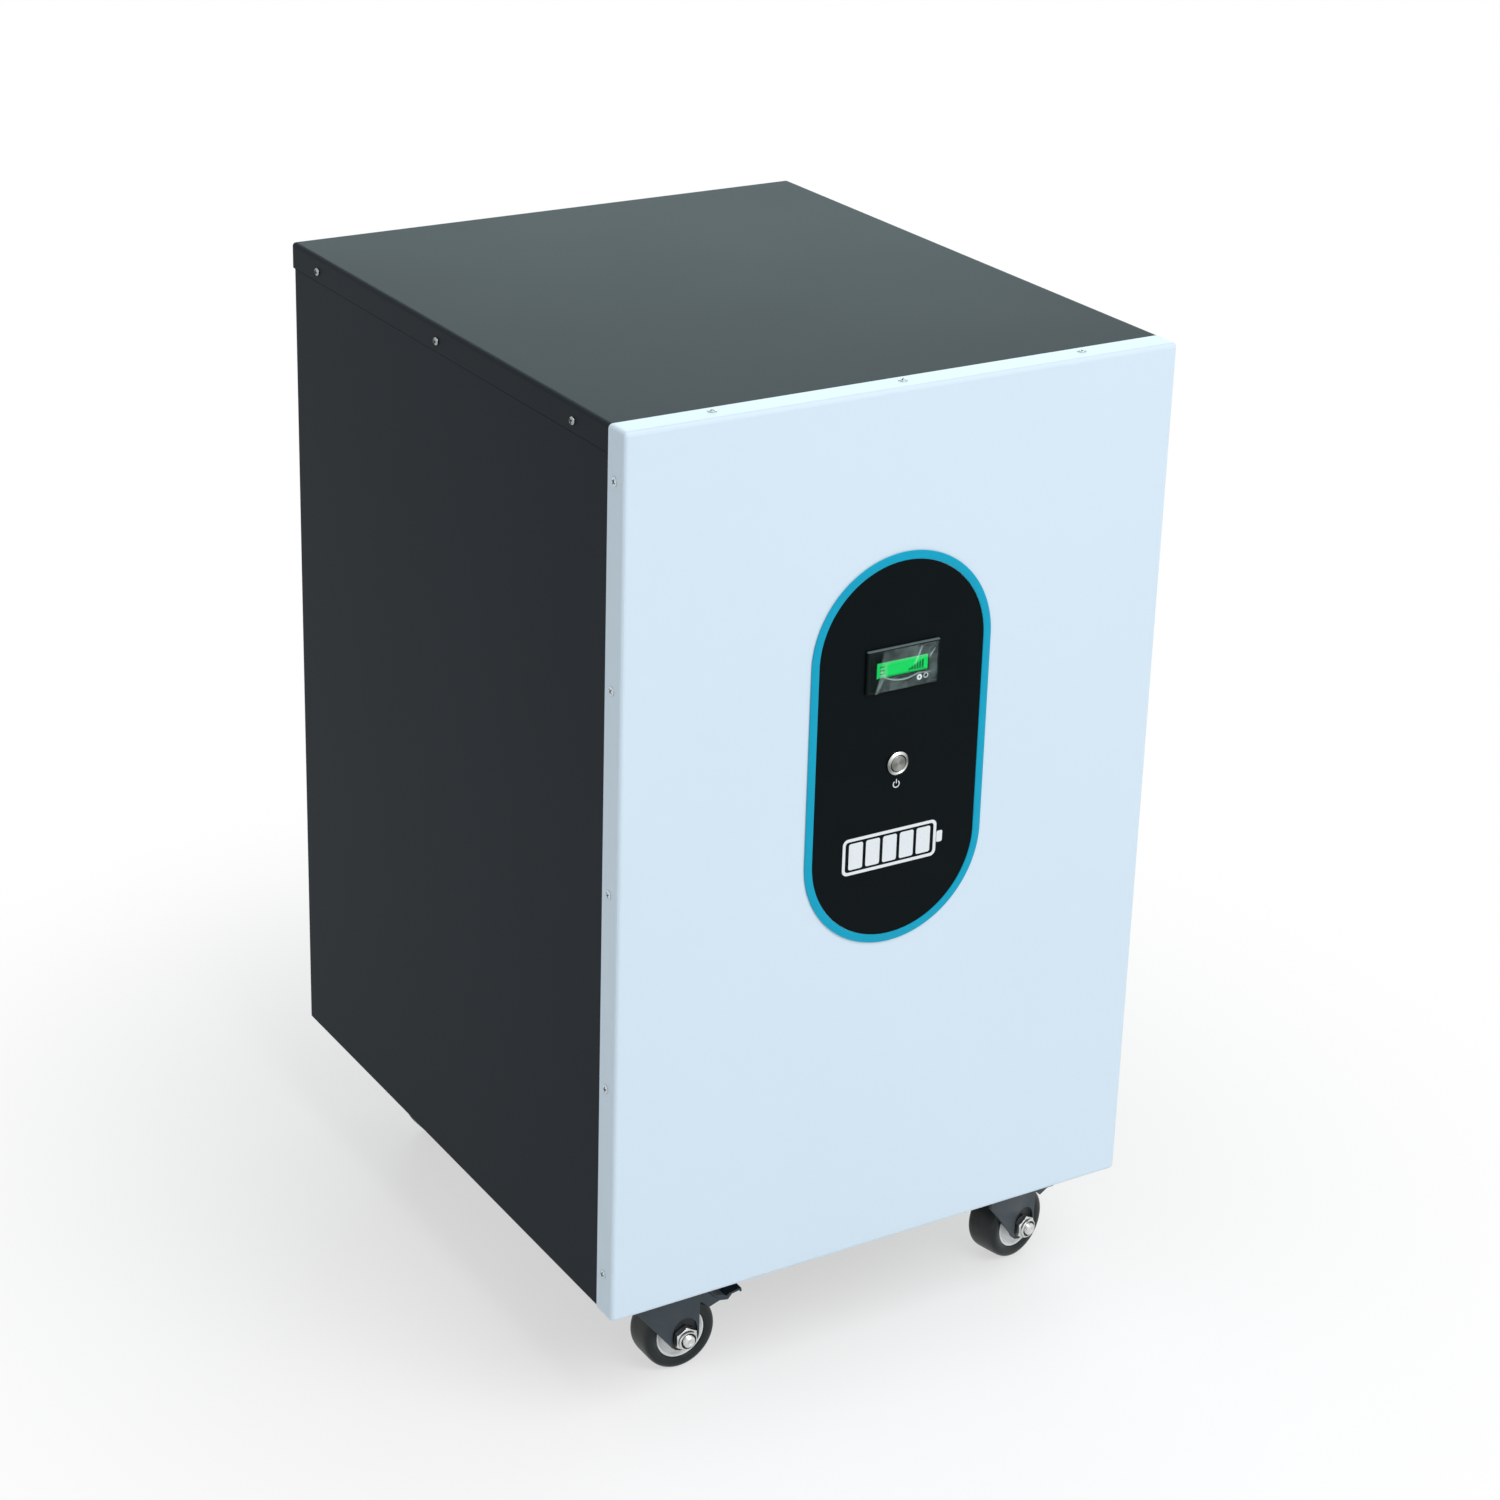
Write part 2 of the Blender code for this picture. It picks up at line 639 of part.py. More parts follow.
def make_button():
    """The metal push-button: a flanged bezel on a barrel, its sprung cap and the nut behind."""
    head = SEAT_Y - BUTTON_HEAD
    cap_front = head + CAP_RECESS
    cap_back = cap_front + CAP_THICK
    bore_end = cap_back + CAP_TRAVEL + GAP
    stem_end = cap_back + STEM_LENGTH
    well_end = stem_end + CAP_TRAVEL + GAP
    barrel_end = FRONT + BUTTON_BARREL
    bezel = (
        (0, well_end),
        (STEM_RADIUS + GAP, well_end),
        (STEM_RADIUS + GAP, bore_end),
        (CAP_RADIUS + GAP, bore_end),
        (CAP_RADIUS + GAP, head),
        (BUTTON_HEAD_RADIUS - BUTTON_CHAMFER, head),
        (BUTTON_HEAD_RADIUS, head + BUTTON_CHAMFER),
        (BUTTON_HEAD_RADIUS, SEAT_Y),
        (BUTTON_BARREL_RADIUS, SEAT_Y),
        (BUTTON_BARREL_RADIUS, barrel_end),
        (0, barrel_end),
    )
    add("button_bezel", turned(bezel, "Y", ROUND_STEPS, BUTTON_AT), "button_steel")

    slide = add_axis("button_slide_axis", (BUTTON_AT[0], cap_front, BUTTON_AT[1]))
    cap = (
        (0, 0),
        (CAP_RADIUS - CAP_EDGE, 0),
        (CAP_RADIUS, CAP_EDGE),
        (CAP_RADIUS, CAP_THICK),
        (STEM_RADIUS, CAP_THICK),
        (STEM_RADIUS, CAP_THICK + STEM_LENGTH),
        (0, CAP_THICK + STEM_LENGTH),
    )
    add("button_cap", turned(cap, "Y", ROUND_STEPS), "button_steel", parent=slide)

    nut_front = FRONT + LAYER
    nut_back = nut_front + BUTTON_NUT_THICK
    bore = BUTTON_BARREL_RADIUS + GAP
    hole = rod("Y", bore, nut_front - PAST, nut_back + PAST, ROUND_STEPS, BUTTON_AT)
    nut = prism(hexagon(BUTTON_AT, BUTTON_NUT_FLATS), "Y", nut_front, nut_back)
    add("button_nut", combine(nut, ("DIFFERENCE", hole)), "zinc_steel")


def make_terminals():
    """Two stud terminals, each in an insulator that is held in the rear panel."""
    seat = REAR_FACE + GAP
    boss_end = REAR_FACE + INSULATOR_BOSS
    collar = boss_end + GAP
    tip = REAR_FACE + STUD_OUTSIDE
    bore = STUD_RADIUS + GAP
    insulator = (
        (bore, REAR_INNER - SPIGOT),
        (SPIGOT_RADIUS, REAR_INNER - SPIGOT),
        (SPIGOT_RADIUS, seat),
        (INSULATOR_FLANGE_RADIUS, seat),
        (INSULATOR_FLANGE_RADIUS, REAR_FACE + INSULATOR_FLANGE),
        (INSULATOR_BOSS_RADIUS, REAR_FACE + INSULATOR_FLANGE + INSULATOR_SLOPE),
        (INSULATOR_BOSS_RADIUS, boss_end),
        (bore, boss_end),
    )
    stud = (
        (0, REAR_FACE - STUD_INSIDE),
        (STUD_RADIUS, REAR_FACE - STUD_INSIDE),
        (STUD_RADIUS, collar),
        (STUD_COLLAR_RADIUS, collar),
        (STUD_COLLAR_RADIUS, collar + STUD_COLLAR),
        (STUD_RADIUS, collar + STUD_COLLAR),
        (STUD_RADIUS, tip - STUD_TIP),
        (STUD_RADIUS - STUD_TIP, tip),
        (0, tip),
    )
    poles = (("positive", POSITIVE_AT, "insulator_red"), ("negative", NEGATIVE_AT, "insulator_black"))
    for name, centre, colour in poles:
        add(f"{name}_insulator", turned(insulator, "Y", SMALL_STEPS, centre), colour)
        add(f"{name}_stud", turned(stud, "Y", SMALL_STEPS, centre), "brass")


def make_breaker():
    """The breaker, whose nose stands through the rear panel, and its lever, which rests at off."""
    x, z = BREAKER_AT
    nose_face = REAR_FACE + NOSE_PROUD
    body_back = REAR_INNER - GAP
    body_outline = rectangle(BREAKER_AT, BREAKER_WIDTH, BREAKER_HEIGHT)
    body = prism(body_outline, "Y", body_back - BREAKER_DEPTH, body_back)
    nose = prism(rectangle(BREAKER_AT, BREAKER_WIDTH, NOSE_HEIGHT), "Y", body_back - SINK, nose_face)
    slot_outline = rectangle(BREAKER_AT, SLOT_WIDTH, SLOT_HEIGHT)
    slot = prism(slot_outline, "Y", nose_face - SLOT_DEPTH, nose_face + PAST)
    add("breaker_body", combine(body, ("UNION", nose), ("DIFFERENCE", slot)), "breaker_grey")

    half = SLOT_WIDTH / 2 - GAP
    pivot = add_axis("breaker_lever_axis", (x, nose_face - LEVER_AXIS_DEPTH, z))
    handle = [
        (0, -LEVER_ROOT / 2),
        (LEVER_REACH, -LEVER_END / 2),
        (LEVER_REACH, LEVER_END / 2),
        (0, LEVER_ROOT / 2),
    ]
    barrel = rod("X", LEVER_BARREL_RADIUS, -half, half, SMALL_STEPS)
    lever = combine(barrel, ("UNION", prism(handle, "X", -half, half)))
    lever_obj = add("breaker_lever", lever, "lever_black", parent=pivot)
    lever_obj.rotation_euler = (-LEVER_TILT, 0, 0)


def make_socket():
    """A flanged block with two communication ports."""
    x, z = SOCKET_AT
    flange_back = REAR_FACE + GAP
    face = flange_back + SOCKET_FLANGE
    body = prism(rectangle(SOCKET_AT, SOCKET_WIDTH, SOCKET_HEIGHT), "Y", REAR_FACE - SOCKET_DEPTH, face)
    flange_outline = rectangle(SOCKET_AT, SOCKET_WIDTH + 2 * SOCKET_LIP, SOCKET_HEIGHT + 2 * SOCKET_LIP)
    steps = [("UNION", prism(flange_outline, "Y", flange_back, face))]
    for offset in (-PORT_SPACING / 2, PORT_SPACING / 2):
        port = rectangle((x + offset, z), PORT_WIDTH, PORT_HEIGHT)
        steps.append(("DIFFERENCE", prism(port, "Y", face - PORT_DEPTH, face + PAST)))
    add("comm_socket", combine(body, *steps), "lever_black")


def make_earth_stud():
    hex_low = REAR_FACE + GAP
    inner_end, outer_end = REAR_FACE - EARTH_INSIDE, REAR_FACE + EARTH_OUTSIDE
    shank = rod("Y", EARTH_RADIUS, inner_end, outer_end, SMALL_STEPS, EARTH_AT)
    hexes = prism(hexagon(EARTH_AT, EARTH_HEX_FLATS), "Y", hex_low, hex_low + EARTH_HEX)
    add("earth_stud", combine(shank, ("UNION", hexes)), "brass")


ROW_X = (CELL_WIDTH + ROW_SPACE) / 2
INNER_POST_X = ROW_X - POST_SPREAD
OUTER_POST_X = ROW_X + POST_SPREAD
TIER_HALF = CELL_WIDTH + ROW_SPACE / 2
ROW_LENGTH = ROW_CELLS * CELL_THICK
ROW_FRONT = MIDDLE_Y - ROW_LENGTH / 2
FIRST_CELL_Y = ROW_FRONT + CELL_THICK / 2
LAST_CELL_Y = FIRST_CELL_Y + (ROW_CELLS - 1) * CELL_THICK
LOWER_Z = TRAY_FLOOR + GAP
SHELF_TOP = LOWER_Z + CELL_HEIGHT + TIER_SPACE + SHELF_SHEET
UPPER_Z = SHELF_TOP + GAP


def tier_outline():
    """Two rows of cells in plan, with a notch where cells meet."""
    points = []
    notch = CELL_NOTCH / 2
    for sign in (1, -1):
        points += [(sign * notch, MIDDLE_Y - sign * ROW_LENGTH / 2)]
        points += [(sign * TIER_HALF, MIDDLE_Y - sign * ROW_LENGTH / 2)]
        for cell in range(1, ROW_CELLS):
            y = MIDDLE_Y - sign * (ROW_LENGTH / 2 - cell * CELL_THICK)
            points += [
                (sign * TIER_HALF, y - sign * notch),
                (sign * (TIER_HALF - CELL_NOTCH), y),
                (sign * TIER_HALF, y + sign * notch),
            ]
        points += [(sign * TIER_HALF, MIDDLE_Y + sign * ROW_LENGTH / 2)]
        points += [(sign * notch, MIDDLE_Y + sign * ROW_LENGTH / 2)]
        points += [(0, MIDDLE_Y + sign * (ROW_LENGTH / 2 - CELL_NOTCH))]
    return points


def make_tier(name, bottom):
    """Eight cells in series: links along each row, one across the back and two end posts in front."""
    top = bottom + CELL_HEIGHT
    steps = []
    for sign in (-1, 1):
        for cell in range(ROW_CELLS - 1):
            x = sign * (OUTER_POST_X if cell % 2 == 0 else INNER_POST_X)
            y = FIRST_CELL_Y + (cell + 0.5) * CELL_THICK
            bar = rectangle((x, y), LINK_WIDTH, CELL_THICK + LINK_WIDTH)
            steps.append(("UNION", prism(bar, "Z", top - SINK, top + LINK_THICK)))
        end = (sign * INNER_POST_X, FIRST_CELL_Y)
        post = rod("Z", POST_RADIUS, top - SINK, top + POST_HEIGHT, POST_STEPS, end)
        steps.append(("UNION", post))
    cross = rectangle((0, LAST_CELL_Y), 2 * INNER_POST_X + LINK_WIDTH, LINK_WIDTH)
    steps.append(("UNION", prism(cross, "Z", top - SINK, top + LINK_THICK)))
    add(name, combine(prism(tier_outline(), "Z", bottom, top), *steps), "cell_blue")


def make_shelf():
    """The bridge that carries the upper tier, standing on the tray."""
    half = TIER_HALF + SHELF_MARGIN
    low = (-half, ROW_FRONT - SHELF_MARGIN, TRAY_FLOOR + GAP)
    high = (half, ROW_FRONT + ROW_LENGTH + SHELF_MARGIN, SHELF_TOP)
    shelf = folded(low, high, ("-Y", "+Y", "-Z"), sheet=SHELF_SHEET, bend=SHELF_BEND)
    add("cell_shelf", shelf, "case_grey")


BMS_WALL_X = -(SIDE - LAYER - SHEET - GAP)
BMS_AXIS_X = BMS_WALL_X + (BMS_THICK - FIN_DEPTH) / 2
BMS_FRONT = MIDDLE_Y - BMS_LENGTH / 2
BMS_BACK = MIDDLE_Y + BMS_LENGTH / 2
BMS_LOW = BOTTOM + BMS_Z


def make_bms():
    """The battery management unit: a finned housing fixed to the left panel."""
    root = BMS_WALL_X + BMS_THICK - FIN_DEPTH
    tip = BMS_WALL_X + BMS_THICK
    pitch = BMS_LENGTH / (2 * BMS_FINS - 1)
    outline = [(BMS_WALL_X, BMS_BACK), (BMS_WALL_X, BMS_FRONT)]
    for fin in range(BMS_FINS):
        start = BMS_FRONT + 2 * fin * pitch
        if fin:
            outline.append((root, start))
        outline += [(tip, start), (tip, start + pitch)]
        if fin < BMS_FINS - 1:
            outline.append((root, start + pitch))
    add("bms_unit", prism(outline, "Z", BMS_LOW, BMS_LOW + BMS_HEIGHT), "bms_aluminium")


def smooth_route(points, per_span):
    """Points on a smooth curve through a route, whose first and last spans stay straight."""
    points = [Vector(point) for point in points]
    route = [points[0]]
    for index in range(1, len(points) - 2):
        before, start, end, after = points[index - 1 : index + 3]
        for step in range(per_span):
            t = step / per_span
            spread = (end - before) * t + (2 * before - 5 * start + 4 * end - after) * t**2
            spread += (3 * start - before - 3 * end + after) * t**3
            route.append(start + spread / 2)
    return route + points[-2:]


def add_cable(name, points, radius, finish_name):
    """A cable as one tube along its route."""
    curve = bpy.data.curves.new(name, "CURVE")
    curve.dimensions = "3D"
    curve.bevel_depth = radius
    curve.bevel_resolution = CABLE_FACETS
    curve.use_fill_caps = True
    route = smooth_route(points, CABLE_STEPS)
    spline = curve.splines.new("POLY")
    spline.points.add(len(route) - 1)
    for place, point in zip(spline.points, route):
        place.co = (*point, 1)
    curve.materials.append(finish(finish_name))
    obj = bpy.data.objects.new(name, curve)
    bpy.context.scene.collection.objects.link(obj)


def make_cables():
    """Cables between the cells, the management unit, the breaker, the terminals and the meter."""
    lower_post = LOWER_Z + CELL_HEIGHT + POST_HEIGHT + GAP
    upper_post = UPPER_Z + CELL_HEIGHT + POST_HEIGHT + GAP
    post_y = FIRST_CELL_Y
    clear_y = ROW_FRONT - 45 * MM
    breaker_x, breaker_z = BREAKER_AT
    breaker_y = REAR_INNER - GAP - BREAKER_DEPTH / 2
    breaker_top = breaker_z + BREAKER_HEIGHT / 2 + GAP
    breaker_under = breaker_z - BREAKER_HEIGHT / 2 - GAP
    stud_y = REAR_FACE - STUD_INSIDE - GAP
    stud_z = TOP - TERMINAL_DROP
    lead_in = 14 * MM

    x = INNER_POST_X
    add_cable(
        "tier_cable",
        (
            (x, post_y, lower_post),
            (x, post_y, lower_post + lead_in),
            (x, post_y - 30 * MM, lower_post + 34 * MM),
            (x, clear_y + 5 * MM, lower_post + 48 * MM),
            (x, clear_y - 14 * MM, lower_post + 90 * MM),
            (x, clear_y - 14 * MM, upper_post - 10 * MM),
            (x, clear_y + 8 * MM, upper_post + 40 * MM),
            (x, post_y - 24 * MM, upper_post + 46 * MM),
            (x, post_y, upper_post + lead_in),
            (x, post_y, upper_post),
        ),
        CABLE_RADIUS,
        "cable_black",
    )
    add_cable(
        "positive_cable",
        (
            (-x, post_y, upper_post),
            (-x, post_y, upper_post + lead_in),
            (-x, post_y + 24 * MM, upper_post + 42 * MM),
            (-x + 12 * MM, MIDDLE_Y, upper_post + 62 * MM),
            (breaker_x, breaker_y - 80 * MM, breaker_top + 22 * MM),
            (breaker_x, breaker_y - 24 * MM, breaker_top + 38 * MM),
            (breaker_x, breaker_y, breaker_top + lead_in),
            (breaker_x, breaker_y, breaker_top),
        ),
        CABLE_RADIUS,
        "cable_red",
    )
    add_cable(
        "breaker_cable",
        (
            (breaker_x, breaker_y, breaker_under),
            (breaker_x, breaker_y, breaker_under - lead_in),
            (breaker_x + 22 * MM, breaker_y - 16 * MM, breaker_under - 34 * MM),
            (TERMINAL_X - 45 * MM, breaker_y - 35 * MM, breaker_under - 22 * MM),
            (TERMINAL_X - 8 * MM, stud_y - 48 * MM, stud_z - 20 * MM),
            (TERMINAL_X, stud_y - lead_in, stud_z),
            (TERMINAL_X, stud_y, stud_z),
        ),
        CABLE_RADIUS,
        "cable_red",
    )
    bms_z = BMS_LOW + BMS_HEIGHT / 2
    bms_end = BMS_FRONT - GAP
    add_cable(
        "negative_cable",
        (
            (-x, post_y, lower_post),
            (-x, post_y, lower_post + lead_in),
            (-x - 8 * MM, post_y - 30 * MM, lower_post + 34 * MM),
            (-x - 40 * MM, clear_y, lower_post + 46 * MM),
            (-TIER_HALF + 20 * MM, clear_y, bms_z - 10 * MM),
            (BMS_AXIS_X + 6 * MM, clear_y + 25 * MM, bms_z),
            (BMS_AXIS_X, bms_end - lead_in, bms_z),
            (BMS_AXIS_X, bms_end, bms_z),
        ),
        CABLE_RADIUS,
        "cable_black",
    )
    bms_rear = BMS_BACK + GAP
    add_cable(
        "bms_cable",
        (
            (BMS_AXIS_X, bms_rear, bms_z),
            (BMS_AXIS_X, bms_rear + lead_in, bms_z),
            (BMS_AXIS_X + 8 * MM, bms_rear + 50 * MM, bms_z + 30 * MM),
            (-TERMINAL_X - 50 * MM, stud_y - 60 * MM, stud_z - 80 * MM),
            (-TERMINAL_X - 8 * MM, stud_y - 45 * MM, stud_z - 18 * MM),
            (-TERMINAL_X, stud_y - lead_in, stud_z),
            (-TERMINAL_X, stud_y, stud_z),
        ),
        CABLE_RADIUS,
        "cable_black",
    )
    lead_z = BMS_LOW + BMS_HEIGHT - 30 * MM
    meter_x, meter_z = METER_AT
    meter_back = FRONT + METER_BODY_DEPTH + GAP
    add_cable(
        "meter_lead",
        (
            (BMS_AXIS_X, bms_end, lead_z),
            (BMS_AXIS_X, bms_end - lead_in, lead_z),
            (BMS_AXIS_X + 14 * MM, clear_y, lead_z + 20 * MM),
            (meter_x - 90 * MM, clear_y - 12 * MM, meter_z - 24 * MM),
            (meter_x - 20 * MM, meter_back + 42 * MM, meter_z - 6 * MM),
            (meter_x, meter_back + lead_in, meter_z),
            (meter_x, meter_back, meter_z),
        ),
        LEAD_RADIUS,
        "cable_black",
    )


def plate_mesh():
    """The caster's top plate with its pressed race and the riveted kingpin."""
    pin_low = FORK_TOP - FORK_WALL - GAP
    turned_part = (
        (0, PLATE_UNDER + SINK),
        (RACE_OUTER + RACE_FLARE, PLATE_UNDER + SINK),
        (RACE_OUTER + RACE_FLARE, PLATE_UNDER - GAP),
        (RACE_OUTER, RACE_Z),
        (RACE_INNER, RACE_Z),
        (RACE_INNER, PLATE_UNDER - GAP),
        (KINGPIN_RADIUS, PLATE_UNDER - GAP),
        (KINGPIN_RADIUS, pin_low),
        (RIVET_RADIUS, pin_low),
        (RIVET_END_RADIUS, pin_low - RIVET_HEAD),
        (0, pin_low - RIVET_HEAD),
    )
    outline = round_rectangle((0, 0), PLATE_LENGTH, PLATE_WIDTH, PLATE_CORNER, CORNER_STEPS)
    plate = prism(outline, "Z", PLATE_UNDER, PLATE_TOP)
    return combine(plate, ("UNION", turned(turned_part, "Z", SMALL_STEPS)))


def fork_silhouette():
    """The fork from the side: a slanted leading edge, a round toe at the axle and the pedal's ear."""
    shoulder = (-FORK_LEAD, TYRE_TOP + SHOULDER_RISE)
    away = (shoulder[0] - TRAIL, shoulder[1] - AXLE_Z)
    swing = math.degrees(math.acos(FORK_TOE_RADIUS / math.hypot(*away)))
    touch = math.degrees(math.atan2(away[1], away[0])) + swing
    points = [(-FORK_LEAD, FORK_TOP + PAST), shoulder]
    points += arc((TRAIL, AXLE_Z), FORK_TOE_RADIUS, touch, 360, TOE_STEPS)
    ear_x, ear_low = PIVOT_X + EAR_AHEAD, PIVOT_Z - EAR_BELOW
    points += [
        (TRAIL + FORK_TOE_RADIUS, ear_low - EAR_SLOPE),
        (ear_x, ear_low),
        (ear_x, PIVOT_Z + EAR_ABOVE),
        (ear_x - EAR_SLOPE, FORK_TOP + PAST),
    ]
    return points


def pocket_outline(radius):
    """An arch over the axle, open at the toe."""
    arch = arc((TRAIL, AXLE_Z + POCKET_RISE), radius, 0, 180, ARCH_STEPS)
    return arch + [(TRAIL - radius, 0), (TRAIL + radius, 0)]


def fork_mesh():
    """The stamped fork: a channel cut to its side view, pressed in at the axle, with a race on top."""
    low = (-FORK_LEAD - PAST, -FORK_HALF, 0)
    high = (PIVOT_X + EAR_AHEAD + PAST, FORK_HALF, FORK_TOP)
    channel = folded(low, high, ("-X", "+X", "-Z"), FORK_WALL, FORK_BEND, FORK_BEND_STEPS)
    wall_inside = FORK_HALF - FORK_WALL
    steps = []
    for sign in (-1, 1):
        ys = sorted((sign * (wall_inside - PAD_THICK), sign * (wall_inside + SINK)))
        steps.append(("UNION", prism(pocket_outline(POCKET_RADIUS + PAD_THICK), "Y", *ys)))
    steps.append(("INTERSECT", prism(fork_silhouette(), "Y", -FORK_HALF - PAST, FORK_HALF + PAST)))
    for sign in (-1, 1):
        ys = sorted((sign * POCKET_FLOOR, sign * (FORK_HALF + PAST)))
        steps.append(("DIFFERENCE", prism(pocket_outline(POCKET_RADIUS), "Y", *ys)))
    reach = FORK_HALF + PAST
    ring = (
        (RACE_INNER, FORK_TOP - SINK),
        (RACE_OUTER - FORK_RACE / 2, FORK_TOP - SINK),
        (RACE_OUTER, FORK_TOP),
        (RACE_OUTER - FORK_RACE / 2, FORK_TOP + FORK_RACE),
        (RACE_INNER, FORK_TOP + FORK_RACE),
    )
    steps += [
        ("DIFFERENCE", rod("Y", AXLE_RADIUS + GAP, -reach, reach, SMALL_STEPS, (TRAIL, AXLE_Z))),
        ("DIFFERENCE", rod("Y", PEDAL_PIN_RADIUS + GAP, -reach, reach, PIN_STEPS, (PIVOT_X, PIVOT_Z))),
        ("DIFFERENCE", rod("Z", KINGPIN_RADIUS + GAP, 0, FORK_TOP + PAST, SMALL_STEPS)),
        ("UNION", turned(ring, "Z", SMALL_STEPS)),
    ]
    return combine(channel, *steps)


def core_shape():
    """The wheel's core: a long hub, a thin web and a dished rim, turned about its own axle."""
    bore = AXLE_RADIUS + GAP
    half = (
        (bore, HUB_HALF),
        (HUB_RADIUS, HUB_HALF),
        (HUB_RADIUS + HUB_DRAFT, WEB_HALF),
        (CORE_RADIUS - RIM_SLOPE, WEB_HALF),
        (CORE_RADIUS, CORE_HALF),
    )
    return turned(half + mirrored(half), "Y", CORE_STEPS)


def tyre_shape():
    """The tyre: round shoulders and a flat tread, with a flat of its facets on the floor."""
    stretch = 1 / math.cos(math.pi / TYRE_STEPS)
    shoulder = (WHEEL_RADIUS - TYRE_SHOULDER, TYRE_HALF - TYRE_SHOULDER)
    bead = (CORE_RADIUS + GAP, CORE_HALF)
    half = (bead, *arc(shoulder, TYRE_SHOULDER, 90, 0, SHOULDER_STEPS))
    profile = [(radius * stretch, y) for radius, y in half + mirrored(half)]
    return turned(profile, "Y", TYRE_STEPS, phase=math.pi / 2 + math.pi / TYRE_STEPS)


def mirrored(half):
    """The other half of a profile that is alike on both sides of its middle."""
    return tuple((radius, -y) for radius, y in reversed(half))


def bolt_mesh():
    threaded_end = -SEAT_HALF - NUT_THICK - AXLE_END
    shank = rod("Y", AXLE_RADIUS, threaded_end, SEAT_HALF + SINK, SMALL_STEPS)
    head = prism(hexagon((0, 0), NUT_FLATS), "Y", SEAT_HALF, SEAT_HALF + BOLT_HEAD)
    return combine(shank, ("UNION", head))


def nut_mesh():
    outer = prism(hexagon((0, 0), NUT_FLATS), "Y", -SEAT_HALF - NUT_THICK, -SEAT_HALF)
    bore = rod("Y", AXLE_RADIUS + GAP, -SEAT_HALF - NUT_THICK - PAST, -SEAT_HALF + PAST, SMALL_STEPS)
    return combine(outer, ("DIFFERENCE", bore))


def strip(spine, thickness):
    """The outline of a bent strip, offset to both sides of its spine."""
    spine = [Vector(point) for point in spine]
    upper, lower = [], []
    for index, point in enumerate(spine):
        before = (point - spine[index - 1]).normalized() if index else None
        after = (spine[index + 1] - point).normalized() if index < len(spine) - 1 else None
        before, after = before or after, after or before
        across = (before + after).normalized().orthogonal()
        width = thickness / 2 / before.orthogonal().dot(across)
        upper.append(point + across * width)
        lower.append(point - across * width)
    return [tuple(point) for point in upper + lower[::-1]]


def pedal_mesh():
    """The stamped brake pedal: a bent plate over the tyre, two cheeks and the pin they turn on."""
    outer = FORK_HALF - FORK_WALL - PEDAL_SIDE_PLAY
    plate = prism(strip(PEDAL_SPINE, PEDAL_SHEET), "Y", -outer, outer)
    eye = arc((0, 0), PEDAL_EYE_RADIUS, *PEDAL_EYE_ARC, EYE_STEPS)
    cheek = eye + list(PEDAL_SPINE[CHEEK_BENDS]) + list(PEDAL_CHEEK_LOW)
    steps = []
    for sign in (-1, 1):
        ys = sorted((sign * outer, sign * (outer - PEDAL_SHEET)))
        steps.append(("UNION", prism(cheek, "Y", *ys)))
    steps.append(("UNION", rod("Y", PEDAL_PIN_RADIUS, -FORK_HALF, FORK_HALF, PIN_STEPS)))
    return combine(plate, *steps)


def make_casters():
    """Four casters from the same stampings, each turned about its own swivel axis."""
    plate, fork, bolt, nut = plate_mesh(), fork_mesh(), bolt_mesh(), nut_mesh()
    core, tyre, pedal = to_mesh(core_shape()), to_mesh(tyre_shape()), pedal_mesh()
    for name, turn in CASTER_TURN.items():
        end, side = name.split("_")
        x = (SIDE - CASTER_INSET) * (-1 if side == "left" else 1)
        y = FRONT + CASTER_INSET if end == "front" else BACK - CASTER_INSET
        add(f"{name}_caster_plate", plate, "zinc_steel", at=(x, y, 0))
        swivel = add_axis(f"{name}_swivel_axis", (x, y, 0), math.radians(turn))
        add(f"{name}_fork", fork, "fork_black", parent=swivel)
        axle = add_axis(f"{name}_axle", (TRAIL, 0, AXLE_Z), parent=swivel)
        add(f"{name}_axle_bolt", bolt, "zinc_steel", parent=axle)
        add(f"{name}_axle_nut", nut, "zinc_steel", parent=axle)
        add(f"{name}_wheel_core", core, "core_white", parent=axle)
        add(f"{name}_tyre", tyre, "tyre_black", parent=axle)
        if name in BRAKED:
            pivot = add_axis(f"{name}_pedal_axis", (PIVOT_X, 0, PIVOT_Z), parent=swivel)
            add(f"{name}_brake_pedal", pedal, "fork_black", parent=pivot)


def main():
    clear_scene()
    make_case()
    make_rear_panel()
    make_display()
    make_meter()
    make_button()
    make_terminals()
    make_breaker()
    make_socket()
    make_earth_stud()
    make_tier("lower_cells", LOWER_Z)
    make_tier("upper_cells", UPPER_Z)
    make_shelf()
    make_bms()
    make_cables()
    make_casters()


main()
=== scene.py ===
# %% [markdown]
# This lesson dresses a battery cabinet that rolls on four casters. The packed CAD model is the fixed
# frame: every sheet, wheel and stud has its true size and place in it, in metres. What the CAD leaves out
# is added here: the finishes, the small screws and prints, and finer versions of the round parts that the
# CAD keeps coarse.

# %% Load the frame
import json
import math

import bmesh
import bpy
from mathutils import Matrix, Vector


